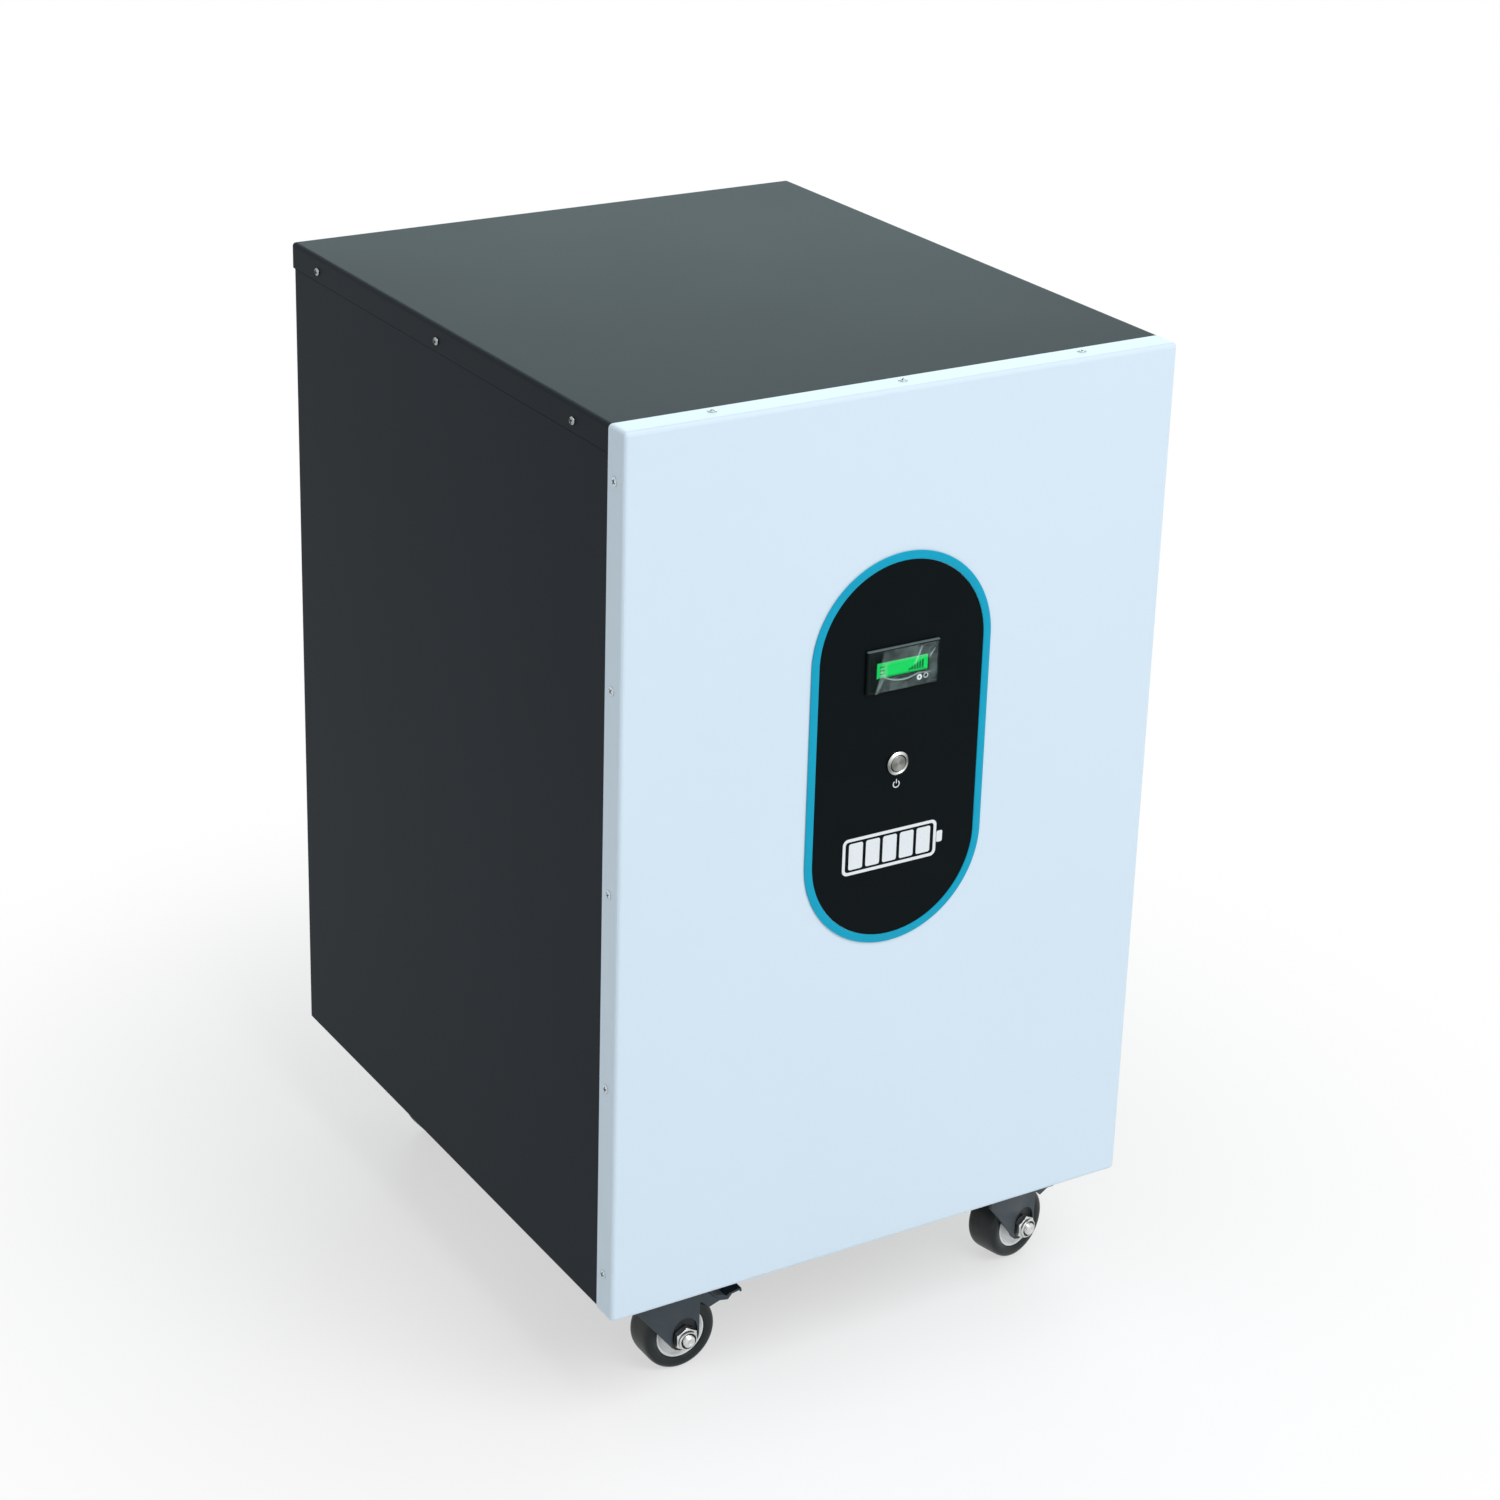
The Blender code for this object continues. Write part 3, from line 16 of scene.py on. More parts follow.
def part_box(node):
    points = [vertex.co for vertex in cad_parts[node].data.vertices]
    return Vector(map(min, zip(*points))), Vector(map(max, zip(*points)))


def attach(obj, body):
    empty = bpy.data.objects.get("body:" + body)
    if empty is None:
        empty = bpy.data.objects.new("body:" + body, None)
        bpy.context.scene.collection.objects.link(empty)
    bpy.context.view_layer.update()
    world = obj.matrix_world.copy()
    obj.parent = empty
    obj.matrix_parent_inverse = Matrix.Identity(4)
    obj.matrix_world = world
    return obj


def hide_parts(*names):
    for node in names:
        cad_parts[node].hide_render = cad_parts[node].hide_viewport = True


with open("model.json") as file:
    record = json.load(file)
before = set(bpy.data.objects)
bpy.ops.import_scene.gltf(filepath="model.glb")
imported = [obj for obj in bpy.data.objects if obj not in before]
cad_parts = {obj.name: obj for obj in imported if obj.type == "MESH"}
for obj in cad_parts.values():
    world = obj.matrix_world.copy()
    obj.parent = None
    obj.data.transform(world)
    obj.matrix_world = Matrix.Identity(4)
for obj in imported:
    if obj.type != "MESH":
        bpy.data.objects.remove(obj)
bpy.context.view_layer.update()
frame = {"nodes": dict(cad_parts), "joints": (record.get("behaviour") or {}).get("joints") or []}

MM = 0.001
scene = bpy.context.scene
joints = {joint["name"]: joint for joint in frame["joints"]}

# %% [markdown]
# A finish is a tree of shader nodes. Written node by node it is long to read, and drawn by hand in the
# editor it can't be repeated. So one small class wraps a socket, and Python's own operators add the Math
# nodes: 1 - mask reads as what it does. Any other node comes from one method, which sets the node's
# settings before its sockets, because some settings change which sockets there are.

# %% Wires for shader maths
class Wire:
    """A socket of a node tree that Python's operators work on."""

    def __init__(self, tree, socket=None):
        self.tree = tree
        self.socket = socket

    def node(self, kind, settings=None, sockets=None):
        """Any node: its settings first, then each socket's value or link. Gives its first output."""
        made = self.tree.nodes.new("ShaderNode" + kind)
        for name, value in (settings or {}).items():
            setattr(made, name, value)
        ready = [socket for socket in made.inputs if socket.enabled]
        for key, value in (sockets or {}).items():
            socket = ready[key] if isinstance(key, int) else next(s for s in ready if s.name == key)
            if isinstance(value, Wire):
                self.tree.links.new(value.socket, socket)
            elif socket.type == "RGBA":
                socket.default_value = (*value, 1)
            else:
                socket.default_value = value
        return Wire(self.tree, next((socket for socket in made.outputs if socket.enabled), None))

    def output(self, name):
        """Another output of the same node."""
        return Wire(self.tree, self.socket.node.outputs[name])

    def maths(self, operation, *values):
        return self.node("Math", {"operation": operation}, dict(enumerate(values)))

    def __add__(self, other):
        return self.maths("ADD", self, other)

    def __radd__(self, other):
        return self.maths("ADD", other, self)

    def __sub__(self, other):
        return self.maths("SUBTRACT", self, other)

    def __rsub__(self, other):
        return self.maths("SUBTRACT", other, self)

    def __mul__(self, other):
        return self.maths("MULTIPLY", self, other)

    def __rmul__(self, other):
        return self.maths("MULTIPLY", other, self)


print("wires take", [name for name in vars(Wire) if name.startswith("__r")])

# %% [markdown]
# The camera stands where the photographer stood. Its place and lens come from fitting the cabinet's own
# edges, whose sizes are known, to where they lie in the picture. The picture is a crop from a larger one,
# so its middle isn't on the lens's axis, and a small shift says so. A plain camera pointed at the middle
# would get the slant of the uprights wrong.

# %% Camera
CABINET_MIDDLE = Vector((0, 0, 0.42))
CAMERA_AT = (-1.23527, -2.04, 1.44981)
CAMERA_AZIMUTH = math.radians(-30.811)
CAMERA_ELEVATION = math.radians(21.2591)
CAMERA_ROLL = math.radians(1.2741)

lens = bpy.data.cameras.new("camera")
lens.sensor_width = 36
lens.lens = 79.884
lens.shift_x = 0.04667
lens.shift_y = -0.1
camera = bpy.data.objects.new("camera", lens)
turn = Matrix.Rotation(CAMERA_AZIMUTH, 4, "Z")
tilt = Matrix.Rotation(math.pi / 2 - CAMERA_ELEVATION, 4, "X")
roll = Matrix.Rotation(CAMERA_ROLL, 4, "Z")
camera.matrix_world = Matrix.Translation(CAMERA_AT) @ turn @ tilt @ roll
scene.collection.objects.link(camera)
scene.camera = camera
scene.view_settings.view_transform = "Standard"
print("camera", round((Vector(CAMERA_AT) - CABINET_MIDDLE).length, 2), "m from the cabinet's middle")

# %% [markdown]
# Product pictures like this one are taken in a white room: light comes from all round, and a large
# softbox above the front makes the top a little brighter than the front and leaves the left side about a
# quarter darker. The world gives the light from all round. It is dimmer for lighting than it looks: rays
# from the camera, and those that a shiny or clear surface sends on, see it pure white.

# %% White room
AMBIENT = 0.53
WHITE = (1, 1, 1)


def seen_rays(wire):
    """1 for rays from the camera, a gloss or a clear surface, and 0 for those that only carry light."""
    path = wire.node("LightPath")
    gloss = path.maths("MAXIMUM", path.output("Is Glossy Ray"), path.output("Is Transmission Ray"))
    return path.maths("MAXIMUM", path.output("Is Camera Ray"), gloss)


room = bpy.data.worlds.new("white room")
scene.world = room
room.use_nodes = True
room.node_tree.nodes.clear()
air = Wire(room.node_tree)
brightness = AMBIENT + (1 - AMBIENT) * seen_rays(air)
glow = air.node("Background", {}, {"Color": WHITE, "Strength": brightness})
air.node("OutputWorld", {}, {"Surface": glow})
print("room lights at", AMBIENT, "and shows at 1")

# %% [markdown]
# A softbox is one large area lamp. Its size makes the shadow soft, and its power follows from the light
# that is wanted: a lamp of P watts at a distance d lights a white card facing it to P / (pi d) squared,
# so the power is worked out here and not tried out. The main one is above the front, a little to the
# right, which keeps the left side dark. A weak one low behind is there for its mirror image: the lid
# shows it at a glancing angle and turns grey.

# %% Softboxes
def softbox(name, way, distance, size, light, tint):
    """A square lamp that lights a white card facing it, at the cabinet, to that level."""
    lamp = bpy.data.lights.new(name, "AREA")
    lamp.shape = "SQUARE"
    lamp.size = size
    lamp.color = tint
    lamp.energy = light * (math.pi * distance) ** 2
    stand = bpy.data.objects.new(name, lamp)
    stand.location = CABINET_MIDDLE + Vector(way).normalized() * distance
    stand.rotation_mode = "QUATERNION"
    stand.rotation_quaternion = Vector(way).to_track_quat("Z", "Y")
    scene.collection.objects.link(stand)
    return lamp


front_way, back_way = (0.12, -0.62, 0.77), (0.50, 0.82, 0.26)
front_lamp = softbox("front softbox", front_way, distance=6.0, size=3.9, light=0.63, tint=WHITE)
back_lamp = softbox("back softbox", back_way, distance=3.2, size=1.9, light=0.24, tint=(0.70, 1.0, 1.0))
print("softboxes", round(front_lamp.energy), "W and", round(back_lamp.energy), "W")

# %% [markdown]
# Every finish is made the same way: a recipe says what goes into the sockets of Blender's Principled
# shader, and one helper makes the material round it. A recipe may also give a whole shader of its own.
# Most recipes need a mask that goes from 0 to 1 between two values, which is what a Map Range node does.

# %% Finishes
FINISHES = {}


def finish(name, recipe):
    """A material from a recipe that gives the main shader's sockets, or a whole shader."""
    material = bpy.data.materials.new(name)
    material.use_nodes = True
    material.node_tree.nodes.clear()
    made = recipe(Wire(material.node_tree))
    if isinstance(made, dict):
        made = Wire(material.node_tree).node("BsdfPrincipled", {}, made)
    made.node("OutputMaterial", {}, {"Surface": made})
    FINISHES[name] = material
    print("finish", len(FINISHES), name)
    return material


def rise(value, low, high, curve="LINEAR"):
    """Goes from 0 to 1 as a value goes from low to high."""
    ends = {"Value": value, "From Min": low, "From Max": high}
    return value.node("MapRange", {"interpolation_type": curve}, ends)


print("finishes so far", len(FINISHES))

# %% [markdown]
# The floor is a pale sweep of paper. Close to the cabinet it is a plain matt surface, so it keeps the
# soft shadow. Further out it turns to even white for the rays that are seen, which hides where the paper
# ends. A floor lit to white by more lamps would also have lit the cabinet more.

# %% Floor
FLOOR_SHADE = (0.88, 0.885, 0.89)
FLOOR_HALF = 9.0
SHADOW_REACH = 0.9
SHADOW_SHARE = 0.42
SQUARE = ((-1, -1), (1, -1), (1, 1), (-1, 1))


def paper(wire):
    """Matt paper that fades to even white away from the cabinet."""
    place = wire.node("NewGeometry").output("Position")
    away = wire.node("VectorMath", {"operation": "LENGTH"}, {0: place}).output("Value")
    far = rise(away, 0.3 * SHADOW_REACH, SHADOW_REACH, "SMOOTHSTEP")
    matt = wire.node("BsdfDiffuse", {}, {"Color": FLOOR_SHADE})
    white = wire.node("Emission", {}, {"Color": WHITE, "Strength": 1})
    even = 1 - SHADOW_SHARE * (1 - far)
    return wire.node("MixShader", {}, {0: seen_rays(wire) * even, 1: matt, 2: white})


def to_mesh(bm):
    """A bmesh as a mesh with its faces turned outward."""
    bmesh.ops.recalc_face_normals(bm, faces=bm.faces)
    mesh = bpy.data.meshes.new("mesh")
    bm.to_mesh(mesh)
    bm.free()
    return mesh


sweep = bmesh.new()
sweep.faces.new([sweep.verts.new((x * FLOOR_HALF, y * FLOOR_HALF, 0)) for x, y in SQUARE])
floor = bpy.data.objects.new("floor", to_mesh(sweep))
floor.data.materials.append(finish("floor paper", paper))
scene.collection.objects.link(floor)
print("floor", 2 * FLOOR_HALF, "m across")

# %% [markdown]
# The case is sheet steel with a dark grey powder coat: a baked plastic skin with a fine grain that
# scatters most of what it mirrors. Two sizes of noise stand for it. A fine one is bumped for the grain,
# and a wide faint one makes the grey and the gloss drift a little, as sprayed coats do. All noise is
# sized in metres from the object's own coordinates, so a grain stays the same size on every sheet.

# %% Dark powder coat
def own_place(wire):
    """Where a point lies in its object's own coordinates, in metres."""
    return wire.node("TexCoord").output("Object")


def cloud(wire, size, detail=2):
    """Noise from 0 to 1 with blotches of about that size, in metres."""
    return wire.node("TexNoise", {}, {"Vector": own_place(wire), "Scale": 1 / size, "Detail": detail})


def bumped(height, strength, depth):
    """The surface's direction once a height from 0 to 1 stands for that depth, in metres."""
    return height.node("Bump", {}, {"Strength": strength, "Distance": depth, "Height": height})


def blend(share, first, second):
    """Two colours mixed by a share from 0 to 1."""
    return share.node("Mix", {"data_type": "RGBA"}, {"Factor": share, "A": first, "B": second})


def dark_coat(wire):
    drift = cloud(wire, 120 * MM, 4)
    grain = cloud(wire, 0.8 * MM)
    return {
        "Base Color": blend(drift, (0.0140, 0.0190, 0.0245), (0.0200, 0.0260, 0.0325)),
        "Roughness": 0.41 + 0.05 * drift,
        "Specular IOR Level": 0.03,
        "Specular Tint": (0.78, 0.98, 1.0),
        "Normal": bumped(grain, 0.3, 0.04 * MM),
    }


finish("case_grey", dark_coat)

# %% [markdown]
# The front cover has a cool white powder coat, smoother than the case's, with the faint ripple that
# painters call orange peel. The ripple is a slow noise a few millimetres wide, and it only moves
# reflections. The blue of the white is in the paint and not in the light, because the wheels' white
# plastic beside it is warmer.

# %% White powder coat
def white_coat(wire):
    drift = cloud(wire, 200 * MM, 3)
    peel = cloud(wire, 3.5 * MM, 1)
    speck = cloud(wire, 0.7 * MM)
    return {
        "Base Color": blend(drift, (0.615, 0.745, 0.850), (0.645, 0.765, 0.865)),
        "Roughness": 0.30 + 0.10 * drift,
        "Specular IOR Level": 0.22,
        "Normal": bumped(0.8 * peel + 0.2 * speck, 0.2, 0.06 * MM),
    }


finish("cover_white", white_coat)

# %% [markdown]
# The oval panel is a printed polycarbonate film. Its black face is fine-textured, so the room only makes
# a soft haze on it, and its rim is printed blue. Film of this kind has a tiny even grain that is finer
# than paint's. The white ink of the signs is screen printed and slightly uneven in cover.

# %% Printed film
def black_film(wire):
    grain = cloud(wire, 0.35 * MM)
    smear = cloud(wire, 35 * MM, 3)
    return {
        "Base Color": blend(smear, (0.0018, 0.0040, 0.0050), (0.0030, 0.0058, 0.0070)),
        "Roughness": 0.30 + 0.14 * smear,
        "Specular IOR Level": 0.045,
        "Normal": bumped(grain, 0.2, 0.02 * MM),
    }


def blue_rim(wire):
    tint = cloud(wire, 25 * MM, 2)
    grain = cloud(wire, 0.35 * MM)
    return {
        "Base Color": blend(tint, (0.001, 0.325, 0.505), (0.002, 0.355, 0.540)),
        "Roughness": 0.34 + 0.10 * grain,
        "Specular IOR Level": 0.14,
        "Normal": bumped(grain, 0.15, 0.02 * MM),
    }


def white_ink(wire):
    cover = cloud(wire, 1.6 * MM, 3)
    return {
        "Base Color": blend(cover, (0.66, 0.71, 0.75), (0.80, 0.84, 0.87)),
        "Roughness": 0.42 + 0.12 * cover,
        "Specular IOR Level": 0.25,
    }


finish("overlay_black", black_film)
finish("ring_blue", blue_rim)
finish("ink_white", white_ink)

# %% [markdown]
# The meter has a glossy moulded case, and a painted highlight makes it paler along its edges. An edge can
# be found in the shader: a Bevel node gives the direction the surface would have if its edges were round,
# and where that differs from the real direction there is an edge. Its upper edge gets a brighter painted
# highlight as well, where the surface's direction points up. Generated coordinates run from 0 to 1
# through a piece, so they tell the upper edge from the lower step.

# %% Meter case
def edge_wear_and_highlight(wire, width):
    """About 1 along sharp edges and 0 on open faces."""
    soft = wire.node("Bevel", {"samples": 4}, {"Radius": width})
    real = wire.node("NewGeometry").output("Normal")
    same = wire.node("VectorMath", {"operation": "DOT_PRODUCT"}, {0: soft, 1: real}).output("Value")
    return rise(1 - same, 0.03, 0.30)


def part(vector, axis):
    """One coordinate of a vector."""
    return vector.node("SeparateXYZ", {}, {"Vector": vector}).output(axis)


def meter_plastic(wire):
    swirl = cloud(wire, 9 * MM, 3)
    face = blend(swirl, (0.0020, 0.0060, 0.0060), (0.0034, 0.0084, 0.0082))
    # The pale edges and the pale up-facing upper edge are painted highlights.
    edges_painted_light = blend(0.9 * edge_wear_and_highlight(wire, 0.8 * MM), face, (0.15, 0.168, 0.170))
    faces_up_for_highlight = rise(part(wire.node("NewGeometry").output("Normal"), "Z"), 0.25, 0.75)
    upper_half = rise(part(wire.node("TexCoord").output("Generated"), "Z"), 0.4, 0.6)
    return {
        "Base Color": blend(faces_up_for_highlight * upper_half, edges_painted_light, (0.115, 0.145, 0.155)),
        "Roughness": 0.20 + 0.12 * swirl,
        "Specular IOR Level": 0.05,
        "Normal": bumped(cloud(wire, 0.5 * MM), 0.1, 0.02 * MM),
    }


finish("meter_black", meter_plastic)

# %% [markdown]
# Over the meter's green backlit display lies a clear window. The window is a Mix Shader: mostly clear,
# with a thin gloss that grows towards grazing angles as real plastic's does. Glass with bending light
# would be slower and show no more at this thickness. The display glows by Emission, a little uneven, as a
# backlight's diffuser is brightest near its lamp.

# %% Window and display
def clear_pane(wire):
    gloss = wire.node("BsdfGlossy", {}, {"Color": (0.9, 0.95, 0.95), "Roughness": 0.06})
    through = wire.node("BsdfTransparent", {}, {"Color": (0.93, 0.96, 0.95)})
    grazing = wire.node("LayerWeight", {}, {"Blend": 0.1}).output("Facing")
    dust = cloud(wire, 4 * MM, 4)
    return wire.node("MixShader", {}, {0: grazing * (0.03 + 0.05 * dust), 1: through, 2: gloss})


def green_light(wire):
    glow_patch = cloud(wire, 16 * MM, 1)
    return {
        "Base Color": (0.002, 0.10, 0.03),
        "Roughness": 0.35,
        "Specular IOR Level": 0.06,
        "Emission Color": blend(glow_patch, (0.001, 0.56, 0.085), (0.003, 0.80, 0.140)),
        "Emission Strength": 0.9,
    }


def lcd_ink(wire):
    cover = cloud(wire, 1.5 * MM, 2)
    return {
        "Base Color": blend(cover, (0.002, 0.085, 0.022), (0.003, 0.140, 0.036)),
        "Roughness": 0.5,
        "Specular IOR Level": 0.06,
    }


finish("meter_clear", clear_pane)
finish("lcd_green", green_light)
finish("lcd_dark", lcd_ink)

# %% [markdown]
# The push-button was turned on a lathe, which leaves fine rings round its axis. Its two bright fans and two
# dark ones, as on a pan's bottom, are a painted reflection. Both are measured from the button's own axis:
# a wave texture for the rings, and the angle round the axis for the fans. The bezel's chamfer was
# polished afterwards, so past a certain distance from the axis the metal is smoother, and its fans are
# painted brighter there, a painted highlight.

# %% Turned steel
FAN_TURN = math.radians(150)
CHAMFER_FROM, CHAMFER_TO = 6.2 * MM, 6.8 * MM


def from_axis(place, weights=(1, 0, 1)):
    """How far a place is from the Y axis, with X and Z weighted."""
    flat = place.node("VectorMath", {"operation": "MULTIPLY"}, {0: place, 1: weights})
    return flat.node("VectorMath", {"operation": "LENGTH"}, {0: flat}).output("Value")


def turned_steel(wire):
    place = own_place(wire)
    rings = {"wave_type": "RINGS", "rings_direction": "Y"}
    cuts = wire.node("TexWave", rings, {"Vector": place, "Scale": 900, "Distortion": 0.6, "Detail": 2})
    round_axis = wire.maths("ARCTAN2", part(place, "Z"), part(place, "X"))
    # The fans are a painted reflection: light and dark sectors round the axis.
    painted_fan_reflection = 0.5 + 0.5 * wire.maths("COSINE", 2 * round_axis + FAN_TURN)
    chamfer = rise(from_axis(place), CHAMFER_FROM, CHAMFER_TO)
    satin_with_painted_fans = blend(painted_fan_reflection, (0.17, 0.18, 0.165), (0.34, 0.35, 0.325))
    # On the chamfer the fans are painted brighter, a painted highlight.
    bright = blend(painted_fan_reflection, (0.20, 0.21, 0.20), (0.94, 0.95, 0.93))
    return {
        "Base Color": blend(chamfer, satin_with_painted_fans, bright),
        "Metallic": 1,
        "Roughness": 0.34 - 0.20 * chamfer + 0.10 * cuts,
        "Normal": bumped(cuts, 0.12, 0.02 * MM),
    }


finish("button_steel", turned_steel)

# %% [markdown]
# The other metals differ by how they were made. Bolts and nuts are zinc plated, bright with a cloudy blue
# and straw bloom. The small screws have a greyer plate, with a near-black painted shade where an Ambient
# Occlusion node finds them shut in. The terminals are brass, darker where fingers touched it, and the box
# inside is cast aluminium with a coarse skin.

# %% Plated and cast metals
def zinc_plate(wire):
    bloom = cloud(wire, 6 * MM, 4)
    grain = cloud(wire, 0.4 * MM)
    return {
        "Base Color": blend(bloom, (0.58, 0.62, 0.66), (0.78, 0.76, 0.70)),
        "Metallic": 1,
        "Roughness": 0.20 + 0.22 * bloom,
        "Normal": bumped(grain, 0.2, 0.02 * MM),
    }


def screw_plate(dull, bright):
    """A recipe for a screw's plating, between two shades, with painted shade where it is shut in."""

    def recipe(wire):
        bloom = cloud(wire, 2 * MM, 3)
        openness = wire.node("AmbientOcclusion", {"samples": 8}, {"Distance": 1.5 * MM}).output("AO")
        clear_of_painted_shade = rise(openness, 0.45, 0.9)
        return {
            # Where the head is shut in, a near-black painted shade is mixed into the plating.
            "Base Color": blend(clear_of_painted_shade, (0.02, 0.022, 0.024), blend(bloom, dull, bright)),
            "Metallic": 1,
            "Roughness": 0.18 + 0.16 * bloom,
            "Normal": bumped(bloom, 0.15, 0.02 * MM),
        }

    return recipe


def brass(wire):
    tarnish = cloud(wire, 5 * MM, 4)
    return {
        "Base Color": blend(tarnish, (0.46, 0.31, 0.12), (0.76, 0.56, 0.25)),
        "Metallic": 1,
        "Roughness": 0.22 + 0.20 * tarnish,
        "Normal": bumped(cloud(wire, 0.5 * MM), 0.15, 0.02 * MM),
    }


def cast_aluminium(wire):
    skin = cloud(wire, 1.8 * MM, 3)
    return {
        "Base Color": blend(skin, (0.46, 0.47, 0.48), (0.60, 0.61, 0.62)),
        "Metallic": 1,
        "Roughness": 0.36 + 0.16 * skin,
        "Normal": bumped(skin, 0.3, 0.1 * MM),
    }


finish("zinc_steel", zinc_plate)
finish("screw_steel", screw_plate((0.27, 0.29, 0.30), (0.40, 0.42, 0.425)))
finish("pale_screw_steel", screw_plate((0.48, 0.56, 0.60), (0.60, 0.68, 0.72)))
finish("brass", brass)
finish("bms_aluminium", cast_aluminium)

# %% [markdown]
# The forks and pedals are stamped steel with a thin black dip coat. It rubs through first along the
# edges, so the mask for edges is used again. Noise breaks the rub up, so that it isn't a drawn line. In
# the pressed pocket round the axle the coat is darkened to nearly black, a painted shade.

# %% Black dip coat with rubbed edges
swivel_at = Vector(joints["front_left_swivel"]["pos_m"])
axle_at = Vector(joints["front_left_wheel_spin"]["pos_m"])
AXLE_IN_CASTER = axle_at - Vector((swivel_at.x, swivel_at.y, 0))
POCKET_OVAL = (1, 0, 0.72)
POCKET_OUTSIDE, POCKET_INSIDE = 12.6 * MM, 10.6 * MM


def dip_coat(wire):
    drift = cloud(wire, 14 * MM, 4)
    patches = rise(cloud(wire, 3 * MM, 4), 0.50, 0.66)
    rub = 0.55 * edge_wear_and_highlight(wire, 0.9 * MM) * patches
    ends = {0: own_place(wire), 1: AXLE_IN_CASTER}
    from_axle = wire.node("VectorMath", {"operation": "SUBTRACT"}, ends)
    pocket_painted_shade = rise(from_axis(from_axle, POCKET_OVAL), POCKET_OUTSIDE, POCKET_INSIDE)
    coat = blend(drift, (0.026, 0.041, 0.053), (0.041, 0.062, 0.078))
    # Round the axle the coat is darkened towards black, a painted shade in the pocket.
    thick = blend(0.85 * pocket_painted_shade, coat, (0.004, 0.005, 0.006))
    return {
        "Base Color": blend(rub * (1 - pocket_painted_shade), thick, (0.20, 0.21, 0.22)),
        "Roughness": 0.34 + 0.14 * drift,
        "Specular IOR Level": 0.35,
        "Normal": bumped(cloud(wire, 0.9 * MM, 2), 0.18, 0.05 * MM),
    }


finish("fork_black", dip_coat)

# %% [markdown]
# A caster wheel is two plastics: a white moulded core and a dark polyurethane tyre cast round it. The
# tyre's tread has picked up a little floor dust, which shows as a paler and duller band. The band is
# found from the distance to the axle, because every wheel is made about its own axle and its object
# coordinates start there.

# %% Wheel plastics
TYRE_RADIUS = 30 * MM
TREAD_EDGE = TYRE_RADIUS - 1.6 * MM


def tyre_rubber(wire):
    tread = rise(from_axis(own_place(wire)), TREAD_EDGE, TYRE_RADIUS)
    dust = 0.28 * tread * cloud(wire, 5 * MM, 4)
    skin = blend(cloud(wire, 20 * MM, 3), (0.0105, 0.0155, 0.0155), (0.0165, 0.0225, 0.0225))
    return {
        "Base Color": blend(dust, skin, (0.11, 0.115, 0.115)),
        "Roughness": 0.30 + 0.45 * dust + 0.08 * cloud(wire, 2 * MM),
        "Specular IOR Level": 0.27,
        "Normal": bumped(cloud(wire, 0.8 * MM, 3), 0.15, 0.05 * MM),
    }


def core_plastic(wire):
    flow = cloud(wire, 18 * MM, 3)
    return {
        "Base Color": blend(flow, (0.84, 0.865, 0.865), (0.90, 0.915, 0.91)),
        "Roughness": 0.32 + 0.12 * flow,
        "Specular IOR Level": 0.4,
        "Normal": bumped(cloud(wire, 1.2 * MM, 2), 0.12, 0.04 * MM),
    }


finish("tyre_black", tyre_rubber)
finish("core_white", core_plastic)

# %% [markdown]
# The fittings at the back and the parts inside use a handful of moulded plastics and jackets:
# glass-filled insulators with short pale fibres near the skin, the breaker's grey urea, the cells' blue
# film and the cables' soft jackets. They differ in colour, gloss and grain alone, so one recipe with
# those as values makes all of them.

# %% Moulded plastics
def moulded(dark, light, roughness, grain_size, grain_depth):
    """A recipe for a moulded plastic or jacket, between two shades."""

    def recipe(wire):
        flow = cloud(wire, 12 * MM, 3)
        grain = cloud(wire, grain_size, 3)
        return {
            "Base Color": blend(0.6 * flow + 0.4 * grain, dark, light),
            "Roughness": roughness + 0.16 * flow,
            "Specular IOR Level": 0.4,
            "Normal": bumped(grain, 0.3, grain_depth),
        }

    return recipe


PLASTICS = {
    "insulator_red": moulded((0.30, 0.010, 0.010), (0.52, 0.030, 0.026), 0.34, 1.0 * MM, 0.05 * MM),
    "insulator_black": moulded((0.010, 0.010, 0.011), (0.026, 0.026, 0.027), 0.34, 1.0 * MM, 0.05 * MM),
    "breaker_grey": moulded((0.46, 0.47, 0.465), (0.58, 0.585, 0.575), 0.40, 0.7 * MM, 0.05 * MM),
    "lever_black": moulded((0.010, 0.010, 0.012), (0.022, 0.022, 0.024), 0.30, 0.7 * MM, 0.04 * MM),
    "cell_blue": moulded((0.030, 0.105, 0.270), (0.055, 0.155, 0.350), 0.30, 6.0 * MM, 0.10 * MM),
    "cable_red": moulded((0.30, 0.012, 0.012), (0.45, 0.028, 0.026), 0.42, 1.5 * MM, 0.08 * MM),
    "cable_black": moulded((0.012, 0.012, 0.013), (0.024, 0.024, 0.025), 0.42, 1.5 * MM, 0.08 * MM),
}
for plastic_name, plastic_recipe in PLASTICS.items():
    finish(plastic_name, plastic_recipe)

# %% [markdown]
# The folded sheets, the cells and the cables already have the right shape in the CAD, so those nodes stay
# and only take a finish. The CAD's facets meet at shared points, and plain smooth shading would bend the
# light over a whole flat sheet. A Weighted Normal modifier lets the large faces decide, so flats stay
# flat and only the bends are round.

# %% Dress the CAD parts that stay
WELD = 0.001 * MM
SLOT_OF = {
    node: part_object.material_slots[0].material.name.split(".")[0]
    for node, part_object in frame["nodes"].items()
}
STAYING = [
    "base_tray", "rear_panel", "top_rail", "top_lid", "front_cover", "cell_shelf", "meter_window",
    "meter_display", "button_nut", "lower_cells", "upper_cells", "bms_unit", "tier_cable", "positive_cable",
    "breaker_cable", "negative_cable", "bms_cable", "meter_lead",
]


def even_normals(piece):
    """Lets a piece's large faces decide which way its surface faces."""
    even = piece.modifiers.new("even normals", "WEIGHTED_NORMAL")
    even.keep_sharp = True


